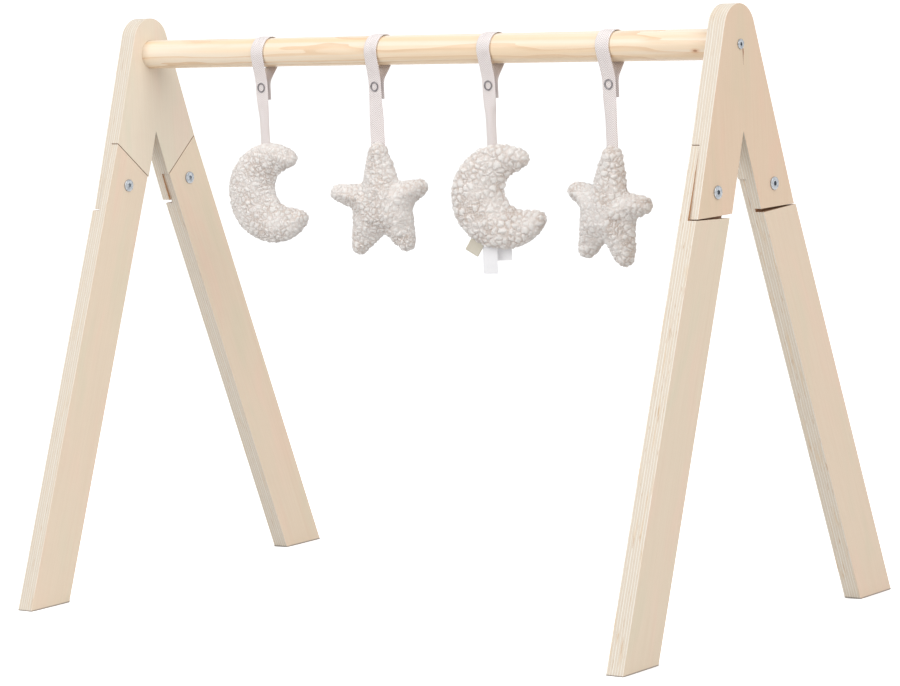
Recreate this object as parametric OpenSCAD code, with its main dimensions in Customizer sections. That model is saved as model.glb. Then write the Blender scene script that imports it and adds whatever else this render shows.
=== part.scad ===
// Wooden activity gym for a baby. Two plywood A-frames carry a round bar, and four soft toys
// hang from the bar on ribbon straps that close with a snap. Millimetres, +Z up, +X along the
// bar, origin on the floor under the middle of the bar.

/* [Frame] */
// Overall height of the gym
gym_h = 564; // [520:1:680]
// Clear distance between the two A-frames
inner_w = 690; // [570:5:840]
// Spread of the feet, over their outer corners
foot_spread = 435; // [360:5:540]
// Thickness of the plywood
ply_t = 18; // [15:1:24]
// Width of a leg, square to its length
leg_w = 50; // [42:1:60]
// Radius of the rounded top of a head
head_r = 24; // [19:1:28]

/* [Lap joints] */
// From the top of a head down to the shoulders where the legs' outer halves begin
shoulder_drop = 184.5; // [150:0.5:221]
// From the top of a head down to the outer corner of a leg's tongue
tongue_drop = 121.5; // [105:0.5:140]
// How far the cut end of a tongue falls towards the notch
tongue_fall = 35.5; // [30:0.5:42]
// Gap left in the lap joints
lap_gap = 0.8; // [0.3:0.1:2]
// How much more the legs splay than the notch in the head, in degrees
splay_diff = 2; // [0:0.5:4]

/* [Bolts] */
// From the top of a head down to the leg bolts
bolt_drop = 163.5; // [154:0.5:172]
// Distance of a leg bolt from the middle of the A-frame
bolt_y = 45; // [41:0.5:50]
// Diameter of a leg bolt
bolt_d = 6; // [5:0.5:7]
// Diameter of the flat heads of the leg bolts and of their nuts
bolt_head_d = 12; // [11:0.5:16]
// Thickness of those heads
bolt_head_t = 1.6; // [1.2:0.1:2.5]
// Wall of the cap nut's barrel
nut_wall = 1.2; // [0.8:0.1:1.8]
// Depth left between the end of a nut's barrel and the outer face
nut_short = 3; // [1:0.5:6]
// Hex socket of the leg bolts, across its flats
bolt_hex = 4; // [3:0.5:4]
// Diameter of the screws that hold the bar
screw_d = 5; // [4:0.5:6]
// Diameter of their heads
screw_head_d = 9; // [8:0.5:12]
// Thickness of their heads
screw_head_t = 1.4; // [1:0.1:2]
// Hex socket of the bar screws, across its flats
screw_hex = 3; // [2.5:0.5:3]
// Outer diameter of the threaded inserts in the bar's ends
insert_d = 10; // [9:0.5:12]
// Length of the threaded inserts
insert_len = 15; // [10:1:20]
// Radial clearance of a fastener in wood
wood_clearance = 0.25; // [0.1:0.05:0.5]
// Radial clearance of a thread's plain stand-in
thread_clearance = 0.05; // [0.02:0.01:0.1]

/* [Bar] */
// Diameter of the bar
bar_d = 28; // [22:1:34]
// From the top of a head down to the bar's centre line
bar_drop = 36; // [32:1:44]
// Depth of the blind seat in the head that takes the bar's end
seat_depth = 6; // [3:0.5:9]
// Radial clearance of the bar in its seat
seat_clearance = 0.1; // [0.05:0.05:0.3]

/* [Straps] */
// Places of the four straps along the bar
pendant_x = [-194, -51, 86, 224];
// Width of the ribbon
strap_w = 15; // [12:1:20]
// Thickness of the ribbon
strap_t = 1.4; // [1:0.1:2]
// Radial clearance of the ribbon round the bar
strap_clearance = 0.4; // [0.3:0.1:1]
// Distance that the front of a strap hangs ahead of the bar's centre line
hang_y = 8; // [7:0.5:11]
// From the bar's centre line down to the snap
snap_drop = 34; // [32:1:40]
// Height above the snap at which both bands bend towards the bar
bend_up = 6; // [5:0.5:7]
// Length of ribbon that hangs free below the snap
tail_free = 12; // [8:1:16]
// Half of the gap in the ribbon at each of its fold lines
fold_gap = 0.8; // [0.7:0.1:1.2]

/* [Snaps] */
// Outer diameter of the open ring on each side of a snap
ring_d = 9.5; // [8:0.5:12]
// Width of that ring's rim
ring_rim = 1.4; // [1:0.1:2]
// Thickness of that ring
ring_t = 0.7; // [0.5:0.1:1]
// Diameter of the socket half
socket_d = 9; // [8:0.5:12]
// Thickness of the socket half
socket_t = 2.2; // [1.9:0.1:2.5]
// Diameter of the well in the socket
well_d = 5.6; // [5.4:0.1:6]
// Depth of that well
well_depth = 1.5; // [1.4:0.1:1.6]
// Diameter of the stud's base
stud_base_d = 8; // [7:0.5:10]
// Thickness of the stud's base
stud_base_t = 0.6; // [0.4:0.1:0.8]
// Diameter of the stud
stud_d = 3.2; // [3:0.1:3.2]
// Height of the stud
stud_h = 1.2; // [1:0.1:1.2]
// Gap between the closed halves
snap_gap = 0.3; // [0.2:0.1:0.4]

/* [Toys] */
// Heights above the floor at which the straps meet the toys
toy_top = [439.5, 440, 438.5, 436];
// Turn of each toy about its strap, in degrees
toy_yaw = [6, 15, 20, -5];
// Lean of each toy in its own plane, in degrees
toy_tilt = [12, 2, 14, -8];
// Distance of each toy's middle from its strap, for the moons
moon_side = 8; // [4:1:12]
// Thickness of a stuffed toy
toy_t = 30; // [24:1:36]
// Thickness of the teddy cloth panels
skin_t = 2.5; // [1.5:0.5:4]
// Outer radius of a moon
moon_r = 49; // [44:1:54]
// Radius of the hollow in a moon
moon_hollow_r = 17.5; // [14:0.5:19]
// Distance of that hollow's centre from the moon's centre
moon_hollow_x = 21.5; // [18:0.5:25]
// Radius of a moon's rounded horns
horn_r = 9; // [8:0.5:10]
// Angle of the horns from the moon's axis, in degrees
horn_angle = 44; // [43:1:50]
// Height of a star's top point above its centre
star_r = 54; // [50:1:60]
// Radius of a star's rounded points
point_r = 9; // [7:0.5:10]

/* [Hidden] */
tab_w = 14;
tab_len = 13;
tab_t = 2;
tab_angle = 238;
label_w = 14.5;
label_t = 0.8;
label_len = 23;
label_short = 11;
rim_gap = 0.3;
fill_gap = 0.1;
socket_depth = 3;
cut = 1;
round_fn = 96;
small_fn = 48;

shoulder_z = gym_h - shoulder_drop;
tongue_z = gym_h - tongue_drop;
tongue_low_z = tongue_z - tongue_fall;
bolt_z = gym_h - bolt_drop;
bar_z = gym_h - bar_drop;
head_z = gym_h - head_r;

// The leg's centre line runs from the middle of its foot through its bolt.
leg_angle_first = atan((foot_spread / 2 - leg_w / 2 - bolt_y) / bolt_z);
leg_angle = atan((foot_spread / 2 - leg_w / (2 * cos(leg_angle_first)) - bolt_y) / bolt_z);
leg_level_w = leg_w / cos(leg_angle);
function leg_out(z) = foot_spread / 2 - z * tan(leg_angle);
function leg_in(z) = leg_out(z) - leg_level_w;

// The head's flanks touch its round top and meet the legs at the top of their tongues.
flank_out = leg_out(tongue_z);
flank_rise = head_z - tongue_z;
flank_angle = atan(flank_out / flank_rise) - asin(head_r / norm([flank_out, flank_rise]));
function flank(z) = flank_out + (tongue_z - z) * tan(flank_angle);
apex_z = (foot_spread / 2 - leg_level_w) / tan(leg_angle);
notch_angle = leg_angle - splay_diff;
shoulder_leg_z = shoulder_z - lap_gap;
shoulder_fall = leg_level_w * tan(splay_diff + lap_gap);

bolt_hole_d = bolt_d + 2 * thread_clearance + 2 * nut_wall + 2 * wood_clearance;
nut_barrel_d = bolt_hole_d - 2 * wood_clearance;
nut_barrel_len = ply_t - nut_short;
nut_floor = 2;
bolt_len = ply_t - nut_floor - 4;
web_t = ply_t - seat_depth;
screw_len = web_t + insert_len - 3;
bar_len = inner_w + 2 * seat_depth;

strap_in_r = bar_d / 2 + strap_clearance;
strap_mid_r = strap_in_r + strap_t / 2;
strap_out_r = strap_in_r + strap_t;
snap_z = bar_z - snap_drop;
bend_z = snap_z + bend_up;
tail_end_z = snap_z - tail_free;
swing_z = tail_end_z - fold_gap - 0.7;
front_y = -hang_y;
socket_y = front_y + strap_t / 2;
stud_y = socket_y + socket_t + snap_gap;
tail_y = stud_y + stud_base_t + strap_t / 2;

// Angle, seen from the bar's centre, at which a band from (y, bend_z) touches the ribbon's circle.
function touch_angle(y, side) =
    let (v = [y, bend_z - bar_z])
    atan2(v[1], v[0]) + side * acos(strap_mid_r / norm(v));
front_angle = touch_angle(front_y, -1) + 360;
back_angle = touch_angle(tail_y, 1);
fold_angle = fold_gap / strap_mid_r * 180 / PI;
function unit(a) = [cos(a), sin(a)];
function on_ring(r, a) = [0, bar_z] + r * unit(a);

moons = [1, 3];
stars = [2, 4];
pendants = [1, 2, 3, 4];
each_strap = ["strap_loop_", "strap_tail_", "strap_lower_", "snap_ring_front_", "snap_socket_",
              "snap_stud_", "snap_ring_back_"];

// Turns an outline drawn in (y, z) so that it is extruded along X from x0 to x1.
module along_x(x0, x1) {
    translate([min(x0, x1), 0, 0])
        rotate([90, 0, 90])
            linear_extrude(abs(x1 - x0))
                children();
}

// A round bar or hole along X from x0 to x1, at (y, z).
module rod_x(x0, x1, y, z, d, fn = small_fn) {
    translate([min(x0, x1), y, z])
        rotate([0, 90, 0])
            cylinder(h = abs(x1 - x0), d = d, $fn = fn);
}

// Distances from the bar's middle: an A-frame's inner face, its middle plane and its outer face.
function face_in(side) = side * inner_w / 2;
function face_mid(side) = side * (inner_w / 2 + ply_t / 2);
function face_out(side) = side * (inner_w / 2 + ply_t);

// The cut across the tongue, moved up by gap, and everything below it.
module below_tongue_cut(dir, gap) {
    high = [leg_out(tongue_z), tongue_z];
    low = [leg_in(tongue_low_z), tongue_low_z];
    along = (high - low) / norm(high - low);
    up = gap * [-along[1], along[0]];
    far = 2 * leg_w;
    a = high + far * along + up;
    b = low - far * along + up;
    mirror([dir < 0 ? 1 : 0, 0])
        polygon([a, b, [b[0], 0], [a[0], 0]]);
}

module head_outline() {
    z0 = shoulder_z - cut;
    top = [cos(flank_angle) * head_r, head_z + sin(flank_angle) * head_r];
    low_out = flank(shoulder_z);
    difference() {
        union() {
            translate([0, head_z])
                circle(head_r, $fn = round_fn);
            polygon([top, [-top[0], top[1]], [-low_out, shoulder_z], [low_out, shoulder_z]]);
        }
        notch_out = (apex_z - z0) * tan(notch_angle);
        polygon([[0, apex_z], [-notch_out, z0], [notch_out, z0]]);
    }
}

// Plywood head: full thickness at the top, its outer half laps down over the legs' tongues.
module head(side) {
    lap_end = face_in(side) - side * cut;
    color([0.87, 0.80, 0.72])
        difference() {
            along_x(face_in(side), face_out(side))
                head_outline();
            for (dir = [-1, 1])
                along_x(lap_end, face_mid(side))
                    below_tongue_cut(dir, lap_gap);
            for (dir = [-1, 1])
                rod_x(lap_end, face_out(side) + side * cut, dir * bolt_y, bolt_z, bolt_hole_d);
            rod_x(lap_end, face_in(side) + side * seat_depth, 0, bar_z, bar_d + 2 * seat_clearance, round_fn);
            rod_x(lap_end, face_out(side) + side * cut, 0, bar_z, screw_d + 2 * wood_clearance);
        }
}

module leg_outline(dir) {
    mirror([dir < 0 ? 1 : 0, 0])
        polygon([[leg_out(0), 0], [leg_out(tongue_z), tongue_z],
                 [leg_in(tongue_low_z), tongue_low_z], [leg_in(0), 0]]);
}

// Plywood leg: above the shoulder only its inner half is left, as a tongue.
module leg(side, dir) {
    out_z = shoulder_leg_z;
    in_z = shoulder_leg_z - shoulder_fall;
    slope = (out_z - in_z) / leg_level_w;
    a = [leg_out(out_z) + leg_w, out_z + slope * leg_w];
    b = [leg_in(in_z) - leg_w, in_z - slope * leg_w];
    color([0.89, 0.82, 0.73])
        difference() {
            along_x(face_in(side), face_out(side))
                leg_outline(dir);
            along_x(face_mid(side), face_out(side) + side * cut)
                mirror([dir < 0 ? 1 : 0, 0])
                    polygon([a, b, [b[0], gym_h], [a[0], gym_h]]);
            rod_x(face_in(side) - side * cut, face_out(side) + side * cut, dir * bolt_y, bolt_z, bolt_hole_d);
        }
}

module bar() {
    end = bar_len / 2;
    color([0.93, 0.83, 0.65])
        difference() {
            rod_x(-end, end, 0, bar_z, bar_d, round_fn);
            for (side = [-1, 1]) {
                rod_x(side * (end + cut), side * (end - insert_len), 0, bar_z, insert_d);
                rod_x(side * (end + cut), side * (end - insert_len - cut), 0, bar_z, screw_d);
            }
        }
}

// Hex recess across the flats, cut into a head whose outer face is at x.
module hex_recess(side, x, y, z, flats, depth) {
    translate([x - side * depth, y, z])
        rotate([0, side * 90, 0])
            cylinder(h = depth + cut, d = flats / cos(30), $fn = 6);
}

module bar_screw(side) {
    x = face_out(side);
    head_x = x + side * screw_head_t;
    difference() {
        union() {
            rod_x(x, head_x, 0, bar_z, screw_head_d);
            rod_x(x, x - side * screw_len, 0, bar_z, screw_d);
        }
        hex_recess(side, head_x, 0, bar_z, screw_hex, socket_depth);
    }
}

module bar_screws() {
    color([0.78, 0.79, 0.80]) {
        bar_screw(-1);
        bar_screw(1);
    }
}

module bar_insert(side) {
    x = side * bar_len / 2;
    difference() {
        rod_x(x, x - side * insert_len, 0, bar_z, insert_d);
        rod_x(x + side * cut, x - side * (insert_len + cut), 0, bar_z, screw_d + 2 * thread_clearance);
    }
}

module bar_inserts() {
    color([0.80, 0.66, 0.35]) {
        bar_insert(-1);
        bar_insert(1);
    }
}

module leg_bolt(side, dir) {
    x = face_out(side);
    head_x = x + side * bolt_head_t;
    difference() {
        union() {
            rod_x(x, head_x, dir * bolt_y, bolt_z, bolt_head_d);
            rod_x(x, x - side * bolt_len, dir * bolt_y, bolt_z, bolt_d);
        }
        hex_recess(side, head_x, dir * bolt_y, bolt_z, bolt_hex, socket_depth);
    }
}

module leg_bolts(side) {
    color([0.78, 0.79, 0.80]) {
        leg_bolt(side, -1);
        leg_bolt(side, 1);
    }
}

// Cap nut: a flat head on the inner face and a barrel through the wood that the bolt screws into.
module leg_nut(side, dir) {
    x = face_in(side);
    head_x = x - side * bolt_head_t;
    bore = bolt_d + 2 * thread_clearance;
    difference() {
        union() {
            rod_x(x, head_x, dir * bolt_y, bolt_z, bolt_head_d);
            rod_x(x, x + side * nut_barrel_len, dir * bolt_y, bolt_z, nut_barrel_d);
        }
        rod_x(x + side * nut_floor, x + side * (nut_barrel_len + cut), dir * bolt_y, bolt_z, bore);
        hex_recess(-side, head_x, dir * bolt_y, bolt_z, bolt_hex, bolt_head_t);
    }
}

module leg_nuts(side) {
    color([0.76, 0.77, 0.79]) {
        leg_nut(side, -1);
        leg_nut(side, 1);
    }
}

// A ribbon in side view: from the point at angle a on the ribbon's circle, moved down by skip,
// to the bend at (y, bend_z) and straight down to end_z. dir is the way that its outside faces.
module band_outline(a, y, end_z, dir, skip) {
    n1 = unit(a);
    n2 = [dir, 0];
    m = (n1 + n2) / (1 + n1 * n2);
    bend = [y, bend_z];
    start = on_ring(strap_mid_r, a);
    from = start + skip * (bend - start) / norm(bend - start);
    end = [y, end_z];
    h = strap_t / 2;
    polygon([from + h * n1, bend + h * m, end + h * n2, end - h * n2, bend - h * m, from - h * n1]);
}

module ring_outline(a0, a1) {
    steps = 8;
    intersection() {
        translate([0, bar_z])
            difference() {
                circle(strap_out_r, $fn = round_fn);
                circle(strap_in_r, $fn = round_fn);
            }
        polygon(concat([[0, bar_z]], [for (i = [0:steps]) on_ring(2 * bar_d, a0 + (a1 - a0) * i / steps)]));
    }
}

module ribbon(n) {
    x = pendant_x[n - 1];
    color([0.90, 0.86, 0.85])
        along_x(x - strap_w / 2, x + strap_w / 2)
            children();
}

// The ribbon over the bar and its front band, down to the fold line below the snap.
module strap_loop(n) {
    ribbon(n) {
        ring_outline(back_angle + fold_angle, front_angle);
        band_outline(front_angle, front_y, swing_z + fold_gap, -1, 0);
    }
}

// The tail behind the bar, which carries the stud and opens backwards.
module strap_tail(n) {
    ribbon(n)
        band_outline(back_angle, tail_y, tail_end_z, 1, fold_gap);
}

// The ribbon between the fold line and the toy.
module strap_lower(n) {
    low_z = toy_top[n - 1] + fold_gap;
    ribbon(n)
        polygon([for (p = [[-1, 0], [1, 0], [1, 1], [-1, 1]])
            [front_y + p[0] * strap_t / 2, p[1] == 0 ? low_z : swing_z - fold_gap]]);
}

// A disc along Y from y0 to y1 on the axis of snap n.
module snap_disc(n, y0, y1, d) {
    translate([pendant_x[n - 1], y1, snap_z])
        rotate([90, 0, 0])
            cylinder(h = y1 - y0, d = d, $fn = small_fn);
}

module snap_ring(n, y0) {
    color([0.74, 0.75, 0.77])
        difference() {
            snap_disc(n, y0, y0 + ring_t, ring_d);
            snap_disc(n, y0 - cut, y0 + ring_t + cut, ring_d - 2 * ring_rim);
        }
}

module snap_ring_front(n) {
    snap_ring(n, front_y - strap_t / 2 - ring_t);
}

module snap_ring_back(n) {
    snap_ring(n, tail_y + strap_t / 2);
}

module snap_socket(n) {
    y1 = socket_y + socket_t;
    color([0.70, 0.71, 0.73])
        difference() {
            snap_disc(n, socket_y, y1, socket_d);
            snap_disc(n, y1 - well_depth, y1 + cut, well_d);
        }
}

module snap_stud(n) {
    color([0.70, 0.71, 0.73])
        union() {
            snap_disc(n, stud_y, stud_y + stud_base_t, stud_base_d);
            snap_disc(n, stud_y - stud_h, stud_y, stud_d);
        }
}

function arc(c, r, a0, a1, steps) = [for (i = [0:steps]) c + r * unit(a0 + (a1 - a0) * i / steps)];

// Outline of a moon whose hollow opens along +x, drawn smaller all round by inset.
module moon_outline(inset) {
    horn = (moon_r - horn_r) * unit(horn_angle);
    low_horn = [horn[0], -horn[1]];
    polygon(concat(
        arc([0, 0], moon_r - inset, horn_angle, 360 - horn_angle, 28),
        arc(low_horn, horn_r - inset, 6 - horn_angle, 90, 8),
        arc([moon_hollow_x, 0], moon_hollow_r + inset, 270, 90, 12),
        arc(horn, horn_r - inset, -90, horn_angle - 6, 8)));
}

// A star's five points and the corners between them, each corner following its point.
star_points = [[0, star_r - point_r], [-41, 9], [-23, point_r - 52], [23, point_r - 52], [41, 9]];
star_corners = [[-20, 18], [-33, -8], [0, -34], [33, -8], [20, 18]];

// Outline of a star, drawn smaller all round by inset.
module star_outline(inset) {
    r = point_r - inset;
    function corner(k) = star_corners[(k + 5) % 5] * (1 - 1.3 * inset / norm(star_corners[(k + 5) % 5]));
    polygon([for (k = [0:4])
        let (c = star_points[k],
             before = corner(k - 1) - c,
             after = corner(k) - c,
             a0 = atan2(before[1], before[0]) + acos(r / norm(before)),
             a_end = atan2(after[1], after[0]) - acos(r / norm(after)),
             a1 = a_end + 360 * ceil((a0 - a_end) / 360))
        each concat(arc(c, r, a0, a1, 8), [corner(k)])]);
}

// Places a toy's own plane, with its middle at the origin, below its strap.
module toy_place(n, side, drop) {
    translate([pendant_x[n - 1], front_y, toy_top[n - 1]])
        rotate([0, 0, toy_yaw[n - 1]])
            translate([side, 0, -drop])
                children();
}

module moon_place(n) {
    toy_place(n, moon_side, sqrt(moon_r * moon_r - moon_side * moon_side))
        children();
}

module star_place(n) {
    toy_place(n, star_r * sin(toy_tilt[n - 1]), star_r * cos(toy_tilt[n - 1]))
        children();
}

// Stands an outline up in the toy's plane; y is the depth of its front and back faces.
module slab(n, y0, y1) {
    rotate([0, -toy_tilt[n - 1], 0])
        translate([0, y1, 0])
            rotate([90, 0, 0])
                linear_extrude(y1 - y0)
                    children();
}

module moon_panel(n, dir) {
    lo = dir < 0 ? -toy_t / 2 : 0;
    color([0.90, 0.87, 0.84])
        moon_place(n)
            difference() {
                slab(n, lo, lo + toy_t / 2)
                    moon_outline(0);
                slab(n, lo + (dir < 0 ? skin_t : -cut), lo + toy_t / 2 - (dir < 0 ? -cut : skin_t))
                    moon_outline(skin_t);
            }
}

module star_panel(n, dir) {
    lo = dir < 0 ? -toy_t / 2 : 0;
    color([0.91, 0.88, 0.85])
        star_place(n)
            difference() {
                slab(n, lo, lo + toy_t / 2)
                    star_outline(0);
                slab(n, lo + (dir < 0 ? skin_t : -cut), lo + toy_t / 2 - (dir < 0 ? -cut : skin_t))
                    star_outline(skin_t);
            }
}

module moon_filling(n) {
    half = toy_t / 2 - skin_t - fill_gap;
    color([0.97, 0.97, 0.97])
        moon_place(n)
            slab(n, -half, half)
                moon_outline(skin_t + fill_gap);
}

module star_filling(n) {
    half = toy_t / 2 - skin_t - fill_gap;
    color([0.97, 0.97, 0.97])
        star_place(n)
            slab(n, -half, half)
                star_outline(skin_t + fill_gap);
}

// Folded cotton tab that stands out of the third toy's seam.
module moon_tab() {
    color([0.86, 0.83, 0.77])
        moon_place(3)
            rotate([0, -tab_angle, 0])
                translate([moon_r + rim_gap, -tab_t / 2, -tab_w / 2])
                    cube([tab_len, tab_t, tab_w]);
}

// Two blank care labels that hang from the same seam, the short one behind the long one.
module care_labels() {
    long_x = -20.5;
    short_x = -5;
    short_y = 2.5;
    color([0.96, 0.96, 0.97])
        moon_place(3) {
            translate([long_x, -label_t / 2, -moon_r - rim_gap - label_len])
                cube([label_w, label_t, label_len]);
            translate([short_x, short_y, -moon_r - rim_gap - label_short])
                cube([label_w, label_t, label_short]);
        }
}

head(-1);  // left_head
head(1);  // right_head
leg(-1, -1);  // left_front_leg
leg(-1, 1);  // left_rear_leg
leg(1, -1);  // right_front_leg
leg(1, 1);  // right_rear_leg
bar();
bar_screws();
bar_inserts();
leg_bolts(-1);  // left_leg_bolts
leg_bolts(1);  // right_leg_bolts
leg_nuts(-1);  // left_leg_nuts
leg_nuts(1);  // right_leg_nuts
for (n = pendants) {
    strap_loop(n);
    strap_tail(n);
    strap_lower(n);
    snap_ring_front(n);
    snap_socket(n);
    snap_stud(n);
    snap_ring_back(n);
}
for (n = moons) {
    moon_panel(n, -1);
    moon_panel(n, 1);
    moon_filling(n);
}
for (n = stars) {
    star_panel(n, -1);
    star_panel(n, 1);
    star_filling(n);
}
moon_tab();  // moon_tab_3
care_labels();  // care_labels_3
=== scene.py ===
"""Wooden baby gym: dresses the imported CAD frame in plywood, pine, zinc, ribbon and teddy cloth.

Every mesh is in metres in the frame's own axes: +X along the bar, +Y to the back, +Z up.
"""
import logging
import math
from dataclasses import dataclass, field
from enum import Enum

import bmesh
import bpy
import numpy as np
from mathutils import Matrix, Vector, geometry


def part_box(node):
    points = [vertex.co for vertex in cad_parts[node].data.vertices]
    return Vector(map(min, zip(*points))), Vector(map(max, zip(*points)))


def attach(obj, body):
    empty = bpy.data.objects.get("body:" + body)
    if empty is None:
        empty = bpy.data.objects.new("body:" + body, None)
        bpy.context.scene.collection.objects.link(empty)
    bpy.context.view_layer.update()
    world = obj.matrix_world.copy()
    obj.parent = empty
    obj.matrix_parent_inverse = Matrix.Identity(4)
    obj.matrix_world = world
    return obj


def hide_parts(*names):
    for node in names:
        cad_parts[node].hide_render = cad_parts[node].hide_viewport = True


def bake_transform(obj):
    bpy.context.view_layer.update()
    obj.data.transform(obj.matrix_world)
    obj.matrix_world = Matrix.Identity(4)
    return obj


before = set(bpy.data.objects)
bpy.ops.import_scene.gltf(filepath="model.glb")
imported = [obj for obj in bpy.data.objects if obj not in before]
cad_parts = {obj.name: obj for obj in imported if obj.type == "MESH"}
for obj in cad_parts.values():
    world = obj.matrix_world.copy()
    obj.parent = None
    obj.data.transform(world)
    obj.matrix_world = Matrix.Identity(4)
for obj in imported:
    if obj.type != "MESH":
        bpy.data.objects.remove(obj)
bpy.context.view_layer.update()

log = logging.getLogger("gym")
MM = 0.001
BOLT_HEAD_RADIUS = 6.0 * MM
Colour = tuple[float, float, float, float]
Point = tuple[float, float, float]


class Side(Enum):
    """The two A-frames, by the sign of their X."""

    LEFT = -1
    RIGHT = 1


class Shape(Enum):
    """The two kinds of plush toy."""

    MOON = "moon"
    STAR = "star"


def srgb(red: int, green: int, blue: int) -> Colour:
    """Turns an sRGB colour into the linear colour that shaders use.

    Args:
        red: Red from 0 to 255.
        green: Green from 0 to 255.
        blue: Blue from 0 to 255.

    Returns:
        The linear colour with full alpha.
    """
    def linear(level: float) -> float:
        """Linear light of one sRGB channel."""
        return level / 12.92 if level <= 0.04045 else ((level + 0.055) / 1.055) ** 2.4

    return linear(red / 255), linear(green / 255), linear(blue / 255), 1.0


# ---------------------------------------------------------------- node trees


class Graph:
    """A node tree with short calls for adding nodes and joining them."""

    def __init__(self, tree: bpy.types.NodeTree) -> None:
        """Keeps the tree that the calls add to."""
        self.tree = tree

    def add(self, kind: str, inputs: dict | None = None, **settings: object) -> bpy.types.Node:
        """Adds a node.

        Args:
            kind: The node's type.
            inputs: Values or sockets by input name or number.
            **settings: Properties of the node.

        Returns:
            The new node.
        """
        node = self.tree.nodes.new(kind)
        for name, value in settings.items():
            setattr(node, name, value)
        for key, value in (inputs or {}).items():
            self.put(node.inputs[key], value)
        return node

    def put(self, socket: bpy.types.NodeSocket, value: object) -> None:
        """Joins a socket to another socket, or sets its value."""
        if isinstance(value, bpy.types.NodeSocket):
            self.tree.links.new(value, socket)
        else:
            socket.default_value = value

    def math(self, operation: str, *values: object) -> bpy.types.NodeSocket:
        """Result of a Math node."""
        return self.add("ShaderNodeMath", dict(enumerate(values)), operation=operation).outputs[0]

    def vector(self, operation: str, *values: object) -> bpy.types.NodeSocket:
        """Result of a Vector Math node."""
        node = self.add("ShaderNodeVectorMath", dict(enumerate(values)), operation=operation)
        return node.outputs["Value" if operation in ("LENGTH", "DISTANCE", "DOT_PRODUCT") else "Vector"]

    def mix(self, factor: object, first: object, second: object, blend: str = "MIX") -> bpy.types.NodeSocket:
        """Result of a colour Mix node.

        Args:
            factor: Share of the second colour.
            first: First colour.
            second: Second colour.
            blend: How the two are blended.

        Returns:
            The mixed colour.
        """
        node = self.add("ShaderNodeMix", data_type="RGBA", blend_type=blend)
        for index, value in ((0, factor), (6, first), (7, second)):
            self.put(node.inputs[index], value)
        return node.outputs[2]

    def noise(self, vector: object, scale: float, detail: float = 2.0, roughness: float = 0.5,
              distortion: float = 0.0) -> bpy.types.NodeSocket:
        """Value of a noise texture."""
        inputs = {"Vector": vector, "Scale": scale, "Detail": detail, "Roughness": roughness,
                  "Distortion": distortion}
        return self.add("ShaderNodeTexNoise", inputs).outputs[0]

    def remap(self, value: object, low: float, high: float, start: float = 0.0,
              end: float = 1.0) -> bpy.types.NodeSocket:
        """A value mapped from low..high to start..end and clamped, with soft ends.

        Args:
            value: The value to map.
            low: Value that becomes start.
            high: Value that becomes end.
            start: Result at low.
            end: Result at high.

        Returns:
            The mapped value.
        """
        inputs = {"Value": value, "From Min": low, "From Max": high, "To Min": start, "To Max": end}
        node = self.add("ShaderNodeMapRange", inputs, interpolation_type="SMOOTHSTEP")
        return node.outputs["Result"]

    def bump(self, height: object, distance: float) -> bpy.types.NodeSocket:
        """Normal of a Bump node."""
        inputs = {"Height": height, "Distance": distance, "Strength": 1.0}
        return self.add("ShaderNodeBump", inputs).outputs["Normal"]

    def group(self, tree: bpy.types.NodeTree, **inputs: object) -> bpy.types.Node:
        """Adds a group node; underscores in the names stand for spaces.

        Args:
            tree: The group to use.
            inputs: Its inputs, by name.

        Returns:
            The group node.
        """
        node = self.add("ShaderNodeGroup", node_tree=tree)
        for name, value in inputs.items():
            self.put(node.inputs[name.replace("_", " ")], value)
        return node


def new_group(name: str, kind: str, inputs: dict[str, tuple[str, object]],
              outputs: dict[str, str]) -> tuple[Graph, bpy.types.Node, bpy.types.Node]:
    """Starts a node group with named sockets.

    Args:
        name: The group's name.
        kind: ShaderNodeTree or GeometryNodeTree.
        inputs: Socket type and default value by input name.
        outputs: Socket type by output name.

    Returns:
        The graph, its group input node and its group output node.
    """
    tree = bpy.data.node_groups.new(name, kind)
    for label, (socket, value) in inputs.items():
        made = tree.interface.new_socket(label, in_out="INPUT", socket_type=socket)
        if value is not None:
            made.default_value = value
    for label, socket in outputs.items():
        tree.interface.new_socket(label, in_out="OUTPUT", socket_type=socket)
    graph = Graph(tree)
    return graph, graph.add("NodeGroupInput"), graph.add("NodeGroupOutput")


def streaks_group() -> bpy.types.NodeTree:
    """Long fibres along Z: a fine value and a broad one, for every kind of wood here.

    Returns:
        The group's tree.
    """
    graph, given, out = new_group(
        "wood_streaks", "ShaderNodeTree",
        {"Vector": ("NodeSocketVector", None), "Across": ("NodeSocketFloat", 900.0),
         "Along": ("NodeSocketFloat", 30.0)},
        {"Fine": "NodeSocketFloat", "Broad": "NodeSocketFloat"})
    across, along = given.outputs["Across"], given.outputs["Along"]
    size = graph.add("ShaderNodeCombineXYZ", {0: across, 1: across, 2: along}).outputs[0]
    place = graph.vector("MULTIPLY", given.outputs["Vector"], size)
    graph.put(out.inputs["Fine"], graph.noise(place, 1.0, 3.0, 0.6, 0.3))
    graph.put(out.inputs["Broad"], graph.noise(place, 0.13, 2.0, 0.5, 0.8))
    return graph.tree


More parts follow.
